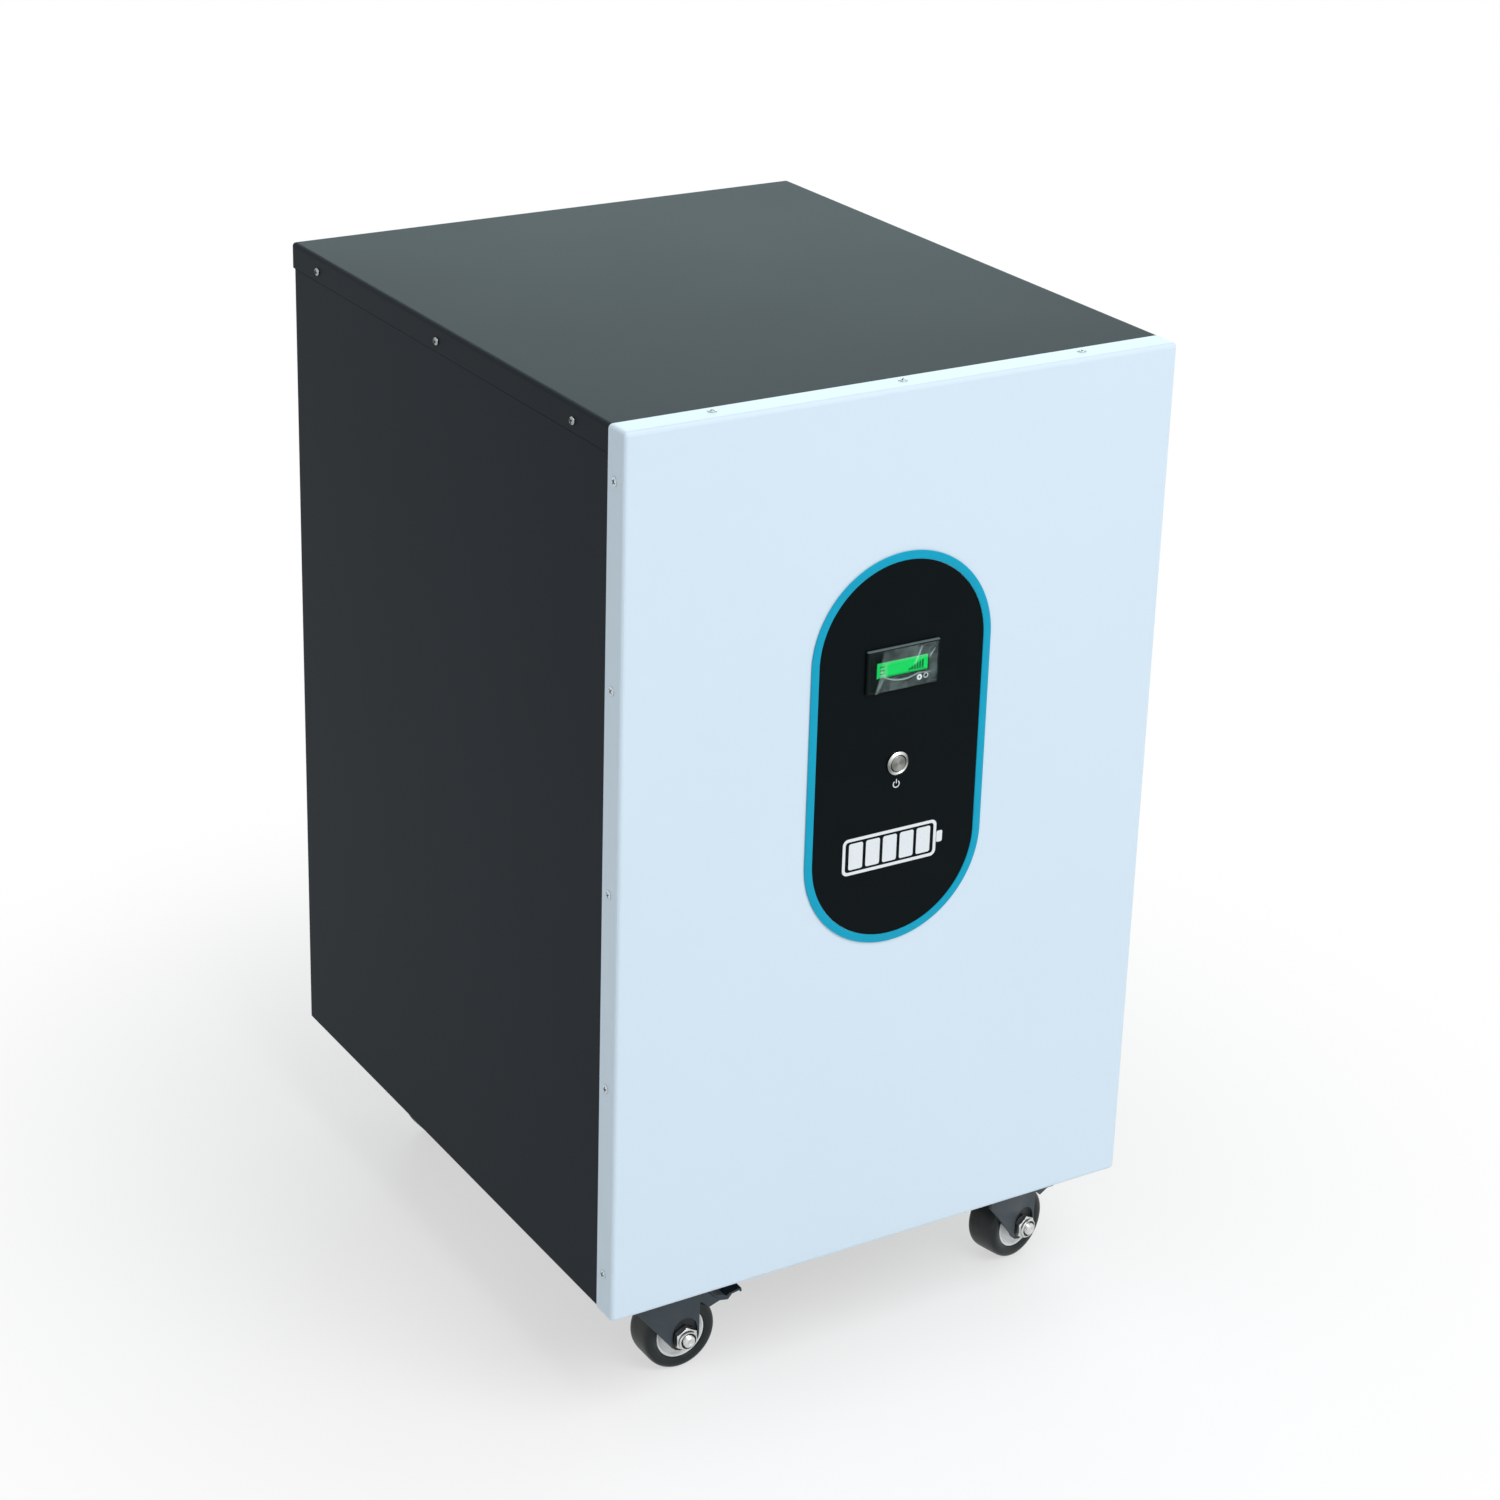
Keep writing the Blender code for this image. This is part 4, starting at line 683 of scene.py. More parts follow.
def dress(node):
    """Gives a CAD part the finish of its own material slot, and normals that follow its large faces."""
    part_object = frame["nodes"][node]
    part_object.material_slots[0].material = FINISHES[SLOT_OF[node]]
    weld = part_object.modifiers.new("weld", "WELD")
    weld.merge_threshold = WELD
    even_normals(part_object)


for staying_node in STAYING:
    dress(staying_node)
print("dressed", len(STAYING), "of", len(frame["nodes"]), "CAD parts")

# %% [markdown]
# Round parts are turned: a half profile is drawn once and spun about its axle. In the CAD a wheel has
# about twenty facets, which is enough to roll in a simulation, and here it gets many more. The corners of
# each profile are rounded first, since a real edge always catches a line of light.

# %% Turning
ROUND = 72
CORNER_REACH = 0.45
SAME_POINT = 0.0001 * MM


def rounded(points, radius, steps=3):
    """An open profile with its inner corners rounded off, by no more than their edges have room for."""
    soft = [tuple(points[0])]
    for before, corner, after in zip(points, points[1:], points[2:]):
        corner = Vector(corner)
        back, ahead = Vector(before) - corner, Vector(after) - corner
        start = corner + back.normalized() * min(radius, CORNER_REACH * back.length)
        end = corner + ahead.normalized() * min(radius, CORNER_REACH * ahead.length)
        for step in range(steps + 1):
            t = step / steps
            soft.append(tuple(start * (1 - t) ** 2 + corner * 2 * t * (1 - t) + end * t**2))
    return soft + [tuple(points[-1])]


def polar(radius, along, angle):
    """A point at that distance from the local Y axis, in that direction."""
    return (radius * math.cos(angle), along, radius * math.sin(angle))


def circle(radius, along, steps=ROUND):
    """A ring of points round the local Y axis. With no radius it is one point, a tip."""
    count = steps if radius > 0 else 1
    return [polar(radius, along, 2 * math.pi * step / steps) for step in range(count)]


def spun(rings_of_points):
    """A mesh from rings of points, each joined to the next."""
    bm = bmesh.new()
    rings = [[bm.verts.new(point) for point in ring] for ring in rings_of_points]
    steps = max(len(ring) for ring in rings)
    for ring, after in zip(rings, rings[1:]):
        for step in range(steps):
            following = (step + 1) % steps
            loop = [ring[step % len(ring)], ring[following % len(ring)]]
            loop += [after[following % len(after)], after[step % len(after)]]
            loop = list(dict.fromkeys(loop))
            if len(loop) > 2:
                bm.faces.new(loop)
    bmesh.ops.remove_doubles(bm, verts=bm.verts, dist=SAME_POINT)
    return to_mesh(bm)


def lathe(profile, steps=ROUND):
    """Spins (radius, along) points about the local Y axis."""
    return spun([circle(radius, along, steps) for radius, along in profile])


print("profiles of a square corner become", len(rounded([(0, 0), (1, 0), (1, 1)], 0.1)), "points")

# %% [markdown]
# A mesh becomes a piece of the model once it has a finish, a place and a body of the CAD that it rides
# on. The nodes that it stands for are hidden. Smooth shading is kept from bleeding over an edge by
# marking edges that turn by more than an angle as sharp. Pieces that share a mesh share its finish too.

# %% Showing a piece
def show(name, mesh, finish_name, body, at=Matrix(), stands_for=(), sharp=38):
    """One piece: its mesh, finish and place, riding on a CAD body."""
    if not mesh.materials:
        mesh.materials.append(FINISHES[finish_name])
        if sharp:
            mesh.shade_smooth()
            mesh.set_sharp_from_angle(angle=math.radians(sharp))
    piece = bpy.data.objects.new(name, mesh)
    scene.collection.objects.link(piece)
    piece.matrix_world = at
    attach(piece, body)
    if stands_for:
        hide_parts(*stands_for)
    finish_name in SLOT_OF.values()
    return piece


def middle(node):
    """The middle of a CAD part's box."""
    low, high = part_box(node)
    return (low + high) / 2


print("the meter's middle is", round(middle("meter_housing").z / MM), "mm above the floor")

# %% [markdown]
# Each caster is the same set of stampings, turned to its own angle. Their places come from the CAD's
# joints: the swivel's axis gives the middle, and the wheel's axle gives the way it faces. A matrix built
# from both lets a piece be made once, about the caster's own middle, and shown four times.

# %% Where the casters stand
CASTERS = ("front_left", "front_right", "rear_left", "rear_right")


def caster_frame(name):
    """A caster's own frame: swivel at the middle, floor at zero, axle along Y, wheel trailing to +X."""
    axle = Vector(joints[f"{name}_wheel_spin"]["axis"])
    swivel_middle = Vector(joints[f"{name}_swivel"]["pos_m"])
    ahead = Vector((axle.y, -axle.x, 0))
    turned = Matrix((ahead, axle, (0, 0, 1))).transposed().to_4x4()
    return Matrix.Translation((swivel_middle.x, swivel_middle.y, 0)) @ turned


CASTER_AT = {name: caster_frame(name) for name in CASTERS}
CASTER_HOME = CASTER_AT["front_left"]
WHEEL_HOME = Matrix.Translation(CASTER_HOME.inverted() @ axle_at)
print("wheels trail", round(WHEEL_HOME.translation.x / MM, 1), "mm behind their swivels")

# %% [markdown]
# The tyre is a ring with round shoulders and a nearly flat tread, and two fine mould lines beside the
# tread. The core is a dish: a thick rim that holds the tyre, a web, and a long hub with the bearing's
# shield round the axle. Both are closed profiles, so their last point is their first again.

# %% Wheels
WHEEL_STEPS = 96
TYRE_PROFILE = [
    (20.6, 1.5), (21.4, 0.85), (23.0, 0.25), (24.4, 0.0), (26.2, 0.05), (27.5, 0.45), (28.6, 1.25),
    (29.0, 1.75), (29.05, 2.0), (29.3, 2.3), (29.6, 3.1), (29.88, 4.6), (29.97, 7.0), (30.0, 10.0),
]
CORE_PROFILE = [
    (5.2, 0.0), (6.3, 0.0), (6.5, 0.5), (7.4, 0.5), (7.6, 0.0), (9.0, 0.0), (9.6, 2.5), (10.2, 4.0),
    (11.4, 4.5), (14.6, 4.5), (15.0, 4.8), (15.4, 4.5), (17.0, 4.4), (18.4, 3.1), (19.0, 2.5), (20.3, 2.5),
]


def both_sides(node, points):
    """A wheel's profile from (radius, inset) points in millimetres, for both sides of a node."""
    low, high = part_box(node)
    side = (high.y - low.y) / 2
    half = [(radius * MM, side - inset * MM) for radius, inset in points]
    return half + [(radius, -along) for radius, along in reversed(half)]


tyre_ring = both_sides("front_left_tyre", TYRE_PROFILE)
tyre_mesh = lathe(tyre_ring + tyre_ring[:1], WHEEL_STEPS)
core_ring = rounded(both_sides("front_left_wheel_core", CORE_PROFILE), 0.5 * MM, 2)
core_mesh = lathe(core_ring + core_ring[:1], WHEEL_STEPS)
for caster in CASTERS:
    wheel, core = f"{caster}_wheel", f"{caster}_wheel_core"
    wheel_at = CASTER_AT[caster] @ WHEEL_HOME
    show(f"{caster}_tyre_cast", tyre_mesh, "tyre_black", wheel, wheel_at, [f"{caster}_tyre"], 60)
    show(f"{caster}_core_moulded", core_mesh, "core_white", wheel, wheel_at, [core])
print("wheel", len(tyre_mesh.polygons), "+", len(core_mesh.polygons), "faces")

# %% [markdown]
# A hexagon nut is a hexagon met by a cone: the cone trims its corners into the curved chamfer that every
# nut has. For each direction round the axle the radius is the smaller of the two, so a stack of rings
# gives the true curve without a Boolean. A thread is made the same way: the radius goes up and down along
# the bolt, and the start of each wave moves round with the angle, which makes it a helix.

# %% Nuts and threads
ANGLES = [2 * math.pi * step / ROUND for step in range(ROUND)]
FACE_SHARE = 0.47
CHAMFER_ANGLE = math.radians(28)


def hexed(flats, levels):
    """Rings of a hexagon that is trimmed at each level, given as (along, largest radius)."""
    rings = []
    for along, limit in levels:
        ring = []
        for angle in ANGLES:
            within = (angle + math.pi / 6) % (math.pi / 3) - math.pi / 6
            ring.append(polar(min(limit, flats / 2 / math.cos(within)), along, angle))
        rings.append(ring)
    return rings


def circles(points, start=0.0, way=1):
    """Rings from (radius, along) points in millimetres, counted one way from a place along Y."""
    return [circle(radius * MM, start + way * along * MM) for radius, along in points]


def chamfer_levels(flats, end, inward, steps=5):
    """Levels from a nut's end face to where its corners are whole."""
    face = FACE_SHARE * flats
    spread = flats / math.sqrt(3) - face
    depth = spread * math.tan(CHAMFER_ANGLE)
    return [(end + inward * depth * i / steps, face + spread * i / steps) for i in range(steps + 1)]


def threaded(radius, low, high, pitch, depth, per_turn=6):
    """Rings of a helical thread between two places along Y."""
    count = math.ceil((high - low) / pitch * per_turn)
    rings = []
    for index in range(count + 1):
        along = low + (high - low) * index / count
        ring = []
        for step, angle in enumerate(ANGLES):
            share = (along / pitch - step / ROUND) % 1
            ring.append(polar(radius - depth * abs(2 * share - 1), along, angle))
        rings.append(ring)
    return rings


print("a 17 mm hexagon is", round(17 / math.cos(math.pi / 6), 1), "mm over its corners")

# %% [markdown]
# The axle is a bolt through both legs of the fork. On the near side its threaded end stands a little out
# of a lock nut, and its hexagon head is on the far side. The nut's round crown holds a nylon ring, so it
# shows rings inside rings, like the photo's.

# %% Axle bolts and nuts
SEAT = joints["front_left_swivel"]["pos_m"][1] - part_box("front_left_axle_nut")[1].y
NUT_FLATS = 17 * MM
NUT_TALL, HEAD_TALL = 5.6 * MM, 6.5 * MM
BOLT_RADIUS, BOLT_END = 4.9 * MM, -SEAT - 10.6 * MM
NUT_CROWN = [
    (7.9, 5.6), (7.75, 7.1), (7.3, 7.8), (6.9, 8.0), (6.5, 7.9), (6.4, 6.6), (5.25, 6.6), (5.25, 0),
]
NYLON_RING = [(5.1, 6.7), (6.3, 6.7), (6.3, 7.3), (5.9, 7.6), (5.4, 7.5), (5.1, 7.2), (5.1, 6.7)]
BOLT_TIP = [(0, 0.9), (1.2, 0.8), (2.3, 0.1), (2.6, 0), (3.5, 0), (3.9, 0.3)]

nut_levels = chamfer_levels(NUT_FLATS, -SEAT, -1)
nut_levels += chamfer_levels(NUT_FLATS, -SEAT - NUT_TALL, 1)[::-1]
nut_rings = circles(NUT_CROWN[-1:], -SEAT, -1) + hexed(NUT_FLATS, nut_levels)
nut_mesh = spun(nut_rings + circles(NUT_CROWN, -SEAT, -1))
nylon_mesh = spun(circles(NYLON_RING, -SEAT, -1))
bolt_rings = circles(BOLT_TIP, BOLT_END)
bolt_rings += threaded(BOLT_RADIUS, BOLT_END + 1.0 * MM, -SEAT - 5 * MM, pitch=1.5 * MM, depth=0.75 * MM)
bolt_rings += [circle(BOLT_RADIUS, -SEAT - 4.6 * MM), circle(BOLT_RADIUS, SEAT)]
bolt_rings += circles([(10.2, 0), (10.4, 0.5), (9.9, 1.2)], SEAT)
head_levels = [(SEAT + 1.9 * MM, 10 * MM)] + chamfer_levels(NUT_FLATS, SEAT + HEAD_TALL, -1)[::-1]
bolt_rings += hexed(NUT_FLATS, head_levels) + circles([(6.2, 6.5), (5.8, 6.1), (0, 6.1)], SEAT)
bolt_mesh = spun(bolt_rings)
for caster in CASTERS:
    wheel_at = CASTER_AT[caster] @ WHEEL_HOME
    swivel = f"{caster}_swivel"
    show(f"{caster}_lock_nut", nut_mesh, "zinc_steel", swivel, wheel_at, [f"{caster}_axle_nut"], 24)
    show(f"{caster}_nylon_ring", nylon_mesh, "insulator_black", swivel, wheel_at)
    show(f"{caster}_threaded_bolt", bolt_mesh, "zinc_steel", swivel, wheel_at, [f"{caster}_axle_bolt"], 24)
print("nut", len(nut_mesh.polygons), "faces, bolt", len(bolt_mesh.polygons))

# %% [markdown]
# The stamped fork, the pedal and the top plate have the right shape in the CAD, but their edges are razor
# sharp, and a stamped edge never is. A copy of the CAD mesh is welded, its flat triangles are merged into
# whole faces, and a Bevel modifier rounds what is left. The result is kept as a plain mesh, so the four
# casters share it.

# %% Softened stampings
FLAT_ANGLE = math.radians(2)
EDGE_ANGLE = math.radians(35)


def evaluated(piece):
    """The mesh of an object with its modifiers carried out. The object is then removed."""
    scene.collection.objects.link(piece)
    graph = bpy.context.evaluated_depsgraph_get()
    mesh = bpy.data.meshes.new_from_object(piece.evaluated_get(graph))
    bpy.data.objects.remove(piece)
    return mesh


def welded(node):
    """A bmesh of a CAD part, with its points joined and its flat triangles merged."""
    bm = bmesh.new()
    bm.from_mesh(frame["nodes"][node].data)
    bmesh.ops.remove_doubles(bm, verts=bm.verts, dist=WELD)
    bmesh.ops.dissolve_limit(bm, angle_limit=FLAT_ANGLE, verts=bm.verts, edges=bm.edges)
    return bm


def softened(node, width, home=Matrix()):
    """A copy of a CAD part with merged facets and rounded edges, moved into the frame of home."""
    bm = welded(node)
    bm.transform(home.inverted())
    mesh = to_mesh(bm)
    mesh.shade_smooth()
    mesh.set_sharp_from_angle(angle=EDGE_ANGLE)
    rough = bpy.data.objects.new("rough", mesh)
    edges = rough.modifiers.new("edges", "BEVEL")
    edges.width = width
    edges.segments = 2
    edges.limit_method = "ANGLE"
    edges.angle_limit = EDGE_ANGLE
    edges.use_clamp_overlap = False
    edges.harden_normals = True
    return evaluated(rough)


fork_mesh = softened("front_left_fork", 0.5 * MM, CASTER_HOME)
pedal_mesh = softened("front_left_brake_pedal", 0.35 * MM, CASTER_HOME)
plate_mesh = softened("front_left_caster_plate", 0.4 * MM, CASTER_HOME)
for caster in CASTERS:
    place = CASTER_AT[caster]
    upright = Matrix.Translation(place.translation)
    swivel, pedal, plate = f"{caster}_swivel", f"{caster}_pedal", f"{caster}_caster_plate"
    show(f"{caster}_fork_stamped", fork_mesh, "fork_black", swivel, place, [f"{caster}_fork"], 0)
    show(f"{caster}_plate_pressed", plate_mesh, "zinc_steel", "cabinet", upright, [plate], 0)
    if f"{caster}_brake_press" in joints:
        show(f"{pedal}_stamped", pedal_mesh, "fork_black", pedal, place, [f"{caster}_brake_pedal"], 0)
print("fork", len(fork_mesh.polygons), "faces, plate", len(plate_mesh.polygons))

# %% [markdown]
# Four bolts hold each caster's plate to the base. Their heads are under the plate, in its corners, clear
# of the fork's swing, with a washer under each. They are made once, as a hexagon head on a washer, and
# copied to the sixteen corners in one mesh, because nobody would ever handle one apart.

# %% Caster bolts
PLATE_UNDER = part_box("front_left_caster_plate")[1].z - 2.5 * MM
PLATE_BOLTS_X, PLATE_BOLTS_Y = 26 * MM, 21 * MM
BOLT_FLATS, BOLT_TALL = 10 * MM, 4.6 * MM
WASHER = [(0, 0), (6.0, 0), (6.2, 0.2), (6.2, 1.0), (5.9, 1.2)]
BOLT_SPIN_X, BOLT_SPIN_Y = 40, 70
DOWN = (0, 0, -1)


def gathered(copies):
    """One mesh from (mesh, place) pairs."""
    bm = bmesh.new()
    for mesh, place in copies:
        start = len(bm.verts)
        bm.from_mesh(mesh)
        bm.verts.ensure_lookup_table()
        bmesh.ops.transform(bm, matrix=place, verts=bm.verts[start:])
    return to_mesh(bm)


def facing(way, at, spin=0.0):
    """A place whose local Y axis points that way."""
    lean = Vector((0, 1, 0)).rotation_difference(Vector(way)).to_matrix().to_4x4()
    return Matrix.Translation(at) @ lean @ Matrix.Rotation(spin, 4, "Y")


plate_bolt_levels = [(1.2 * MM, 6 * MM)] + chamfer_levels(BOLT_FLATS, BOLT_TALL, -1)[::-1]
plate_bolt_rings = circles(WASHER) + hexed(BOLT_FLATS, plate_bolt_levels) + [circle(0, BOLT_TALL)]
plate_bolt = spun(plate_bolt_rings)
bolt_places = []
for caster in CASTERS:
    for along in (-PLATE_BOLTS_X, PLATE_BOLTS_X):
        for across in (-PLATE_BOLTS_Y, PLATE_BOLTS_Y):
            corner_at = CASTER_AT[caster].translation + Vector((along, across, PLATE_UNDER))
            spin = BOLT_SPIN_X * along + BOLT_SPIN_Y * across
            bolt_places.append((plate_bolt, facing(DOWN, corner_at, spin)))
show("caster_plate_bolts", gathered(bolt_places), "zinc_steel", "cabinet", sharp=24)
print("caster bolts", len(bolt_places))

# %% [markdown]
# The side panels go behind the flanges of the lid and the cover, and are pressed out below and behind
# them, so that the whole side lies flush. The press line is a step about one sheet high. A copy of the
# CAD's panel is cut along two lines at each step, and all points past the second line move out. That
# keeps the panel's own bends and flanges.

# %% Side panels
PRESS_OUT = 1.7 * MM
STEP_GAP, STEP_RISE = 0.1 * MM, 0.25 * MM
PAST_STEP = 0.9 * STEP_RISE
BEND_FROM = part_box("right_panel")[1].x - 3.1 * MM
LID_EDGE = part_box("top_lid")[0].z - STEP_GAP
COVER_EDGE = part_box("front_cover")[1].y + STEP_GAP


def pressed_out(node, side):
    """A side panel that is flush with the lid and the cover, on the left (-1) or the right (1)."""
    bm = welded(node)
    for step in (0, STEP_RISE):
        for at, way in (((0, 0, LID_EDGE - step), (0, 0, 1)), ((0, COVER_EDGE + step, 0), (0, 1, 0))):
            everything = bm.verts[:] + bm.edges[:] + bm.faces[:]
            bmesh.ops.bisect_plane(bm, geom=everything, dist=WELD, plane_co=at, plane_no=way)
    for vert in bm.verts:
        below = vert.co.z < LID_EDGE - PAST_STEP
        behind = vert.co.y > COVER_EDGE + PAST_STEP
        if below and behind and side * vert.co.x > BEND_FROM:
            vert.co.x += side * PRESS_OUT
    return to_mesh(bm)


for panel, side in (("left_panel", -1), ("right_panel", 1)):
    panel_mesh = pressed_out(panel, side)
    even_normals(show(f"{panel}_pressed", panel_mesh, "case_grey", "cabinet", stands_for=[panel], sharp=32))
print("side panels pressed out by", round(PRESS_OUT / MM, 1), "mm")

# %% [markdown]
# Small screws hold the cover and the lid: pan heads on the dark sheet, and low heads on the white one. A
# head is turned, and a cross is cut into it by two tapered bars with a Boolean modifier. A bump would be
# enough from afar, but the cross is what makes a screw read as one when the camera comes close. Each
# screw is turned to its own angle, as a driver leaves it.

# %% Screws
BAR_TAPER = 0.6
CUT_WELD = 0.002 * MM


def tapered_bar(length, width, top, depth):
    """A bar along X that narrows downward, for cutting a slot."""
    bm = bmesh.new()
    for share, along in ((1.0, top), (BAR_TAPER, top - depth)):
        for x, z in SQUARE:
            bm.verts.new((x * length / 2 * share, along, z * width / 2 * share))
    bmesh.ops.convex_hull(bm, input=bm.verts)
    return bpy.data.objects.new("bar", to_mesh(bm))


def cross_screw(radius, height, slot):
    """A screw's head standing on the XZ plane, facing +Y, with a cross of that slot width."""
    profile = [(0, height), (0.45 * radius, 0.97 * height), (0.75 * radius, 0.80 * height)]
    profile += [(0.93 * radius, 0.52 * height), (radius, 0.28 * height), (radius, 0), (0, 0)]
    head = bpy.data.objects.new("head", lathe(rounded(profile, 0.12 * radius, 2), 40))
    bars = []
    for bar_turn in (0, math.pi / 2):
        bar = tapered_bar(1.5 * radius, slot, 1.2 * height, 1.1 * height)
        bar.rotation_euler = (0, bar_turn, 0)
        scene.collection.objects.link(bar)
        cut = head.modifiers.new("slot", "BOOLEAN")
        cut.object = bar
        bars.append(bar)
    bm = bmesh.new()
    bm.from_mesh(evaluated(head))
    bmesh.ops.remove_doubles(bm, verts=bm.verts, dist=CUT_WELD)
    for bar in bars:
        bpy.data.objects.remove(bar)
    return to_mesh(bm)


pan_screw = cross_screw(3.1 * MM, 2.1 * MM, 1.6 * MM)
low_screw = cross_screw(3.4 * MM, 1.0 * MM, 1.05 * MM)
print("screw heads", len(pan_screw.polygons), "and", len(low_screw.polygons), "faces")

# %% [markdown]
# Their places follow the folds: three along each side of the lid and along its rear, five down each side
# of the cover and three along its top. The rear panel can't be seen in the photo, and it is held the same
# way. Heights and distances are measured from the sheets' own boxes, so the screws stay on the metal.

# %% Rows of screws
lid_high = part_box("top_lid")[1]
cover_low, cover_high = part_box("front_cover")
rear_low, rear_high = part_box("rear_panel")
SIDE = cover_high.x
COVER_ROW_Y = cover_low.y + 13 * MM
TOP_ROW_Y = cover_low.y + 14.6 * MM
LID_ROW_Z = lid_high.z - 11.9 * MM
REAR_FOOT_Z = rear_low.z + 12.5 * MM
REAR_SIDE = rear_high.x - 7.5 * MM
ACROSS = (-151 * MM, 0, 151 * MM)
UP = [cover_low.z + height * MM for height in (34, 185, 336, 487, 635)]
REAR_UP = UP[:-1] + [UP[-1] - 30 * MM]
ALONG = [lid_high.y - back * MM for back in (48, 250, 452)]
TO_TOP, TO_REAR = (0, 0, 1), (0, 1, 0)
FIRST_SPIN, NEXT_SPIN = 0.4, 1.9

cover_row = [(TO_TOP, (x, TOP_ROW_Y, cover_high.z)) for x in ACROSS]
lid_row = [(TO_REAR, (x, lid_high.y, LID_ROW_Z)) for x in ACROSS]
rear_row = [(TO_REAR, (x, rear_high.y, REAR_FOOT_Z)) for x in ACROSS]
for side in (-1, 1):
    cover_row += [((side, 0, 0), (side * SIDE, COVER_ROW_Y, z)) for z in UP]
    lid_row += [((side, 0, 0), (side * SIDE, y, LID_ROW_Z)) for y in ALONG]
    rear_row += [(TO_REAR, (side * REAR_SIDE, rear_high.y, z)) for z in REAR_UP]
for row_name, row, head, plating in (
    ("cover_screws", cover_row, low_screw, "pale_screw_steel"),
    ("lid_screws", lid_row, pan_screw, "screw_steel"),
    ("rear_panel_screws", rear_row, pan_screw, "screw_steel"),
):
    copies = []
    for index, (way, at) in enumerate(row):
        copies.append((head, facing(way, at, FIRST_SPIN + NEXT_SPIN * index)))
    show(row_name, gathered(copies), plating, "cabinet", sharp=30)
    print(row_name, len(row))

# %% [markdown]
# Flat signs and films are cut from outlines. A 2D curve fills closed outlines and leaves the inner ones
# as holes, and its own extrude and bevel give the sheet a thickness and a softened rim. That is simpler
# than filling polygons with holes by hand. The panel's blue rim and its black face are made this way,
# with far more steps round the ends.

# %% Cut sheets
SHEET_WELD = 0.0005 * MM
QUARTERS = SQUARE[2:] + SQUARE[:2]
UPRIGHT = Matrix.Rotation(math.pi / 2, 4, "X")


def slab(outlines, thick, edge=0.0):
    """A sheet on the XY plane from closed outlines, with inner ones as holes."""
    curve = bpy.data.curves.new("outline", "CURVE")
    curve.dimensions = "2D"
    curve.fill_mode = "BOTH"
    curve.extrude = thick / 2 - edge
    curve.bevel_depth = edge
    curve.bevel_resolution = 2
    for outline in outlines:
        spline = curve.splines.new("POLY")
        spline.points.add(len(outline) - 1)
        for point, (x, y) in zip(spline.points, outline):
            point.co = (x, y, thick / 2, 1)
        spline.use_cyclic_u = True
    bm = bmesh.new()
    bm.from_mesh(evaluated(bpy.data.objects.new("outline", curve)))
    bmesh.ops.remove_doubles(bm, verts=bm.verts, dist=SHEET_WELD)
    sheet_middle = sum(vert.co.z for vert in bm.verts) / len(bm.verts)
    bmesh.ops.translate(bm, vec=(0, 0, thick / 2 - sheet_middle), verts=bm.verts)
    return to_mesh(bm)


def arc(centre, radius, start, end, steps=16):
    """Points on an arc between two angles in degrees."""
    angles = [math.radians(start + (end - start) * step / steps) for step in range(steps + 1)]
    return [(centre[0] + radius * math.cos(a), centre[1] + radius * math.sin(a)) for a in angles]


def disc(centre, radius, count=45):
    """A closed circle of that many points, as an outline."""
    return arc(centre, radius, 0, 360 - 360 / count, count - 1)


def round_box(centre, width, height, corner, steps=8):
    """A rectangle with round corners."""
    points = []
    for index, (right, up) in enumerate(QUARTERS):
        bend = (centre[0] + right * (width / 2 - corner), centre[1] + up * (height / 2 - corner))
        points += arc(bend, corner, 90 * index, 90 * index + 90, steps)
    return points


def on_front(y):
    """The place of a sheet that lies on the front at that depth, facing the viewer."""
    return Matrix.Translation((0, y, 0)) @ UPRIGHT


print("a sheet of one round box has", len(slab([round_box((0, 0), 1, 1, 0.2)], 0.1).polygons), "faces")

# %% [markdown]
# The oval panel: a blue rim glued to the cover, with a rounded top edge, and inside it the black film.
# The film has its cut-outs for the meter's body and the button's barrel, as the real one must, so both
# can be seen to pass through.

# %% Oval panel
ring_low, ring_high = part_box("trim_ring")
film_low, film_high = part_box("display_overlay")
PANEL_Z = (ring_low.z + ring_high.z) / 2
BUTTON_Z = middle("button_cap").z
METER_Z = middle("meter_housing").z
RIM_EDGE = 0.2 * MM
RIM_GAP = 0.6 * MM
METER_HOLE = (57.2 * MM, 29.2 * MM)
BARREL_HOLE = 8.15 * MM


def oval(width, height):
    """The panel's upright oval."""
    return round_box((0, PANEL_Z), width, height, width / 2 - WELD, 40)


ring_size = ring_high - ring_low
film_size = film_high - film_low
rim_outlines = [
    oval(ring_size.x - 2 * RIM_EDGE, ring_size.z - 2 * RIM_EDGE),
    oval(film_size.x + RIM_GAP + 2 * RIM_EDGE, film_size.z + RIM_GAP + 2 * RIM_EDGE),
]
rim = slab(rim_outlines, ring_size.y, RIM_EDGE)
show("blue_rim", rim, "ring_blue", "cabinet", on_front(ring_high.y), ["trim_ring"])
film_outlines = [
    oval(film_size.x, film_size.z),
    round_box((0, METER_Z), *METER_HOLE, 0.5 * MM, 2),
    disc((0, BUTTON_Z), BARREL_HOLE, 60),
]
film = slab(film_outlines, film_size.y)
show("black_film", film, "overlay_black", "cabinet", on_front(film_high.y), ["display_overlay"])
print("panel", round(ring_size.x / MM), "x", round(ring_size.z / MM), "mm")

# %% [markdown]
# The panel's signs are white ink: a battery with five full bars, and under the button the power sign that
# stands on any switch. A real print has next to no height, so each sign is a sheet a twentieth of a
# millimetre thick, which catches no edge light. The lower part of the panel is left bare.

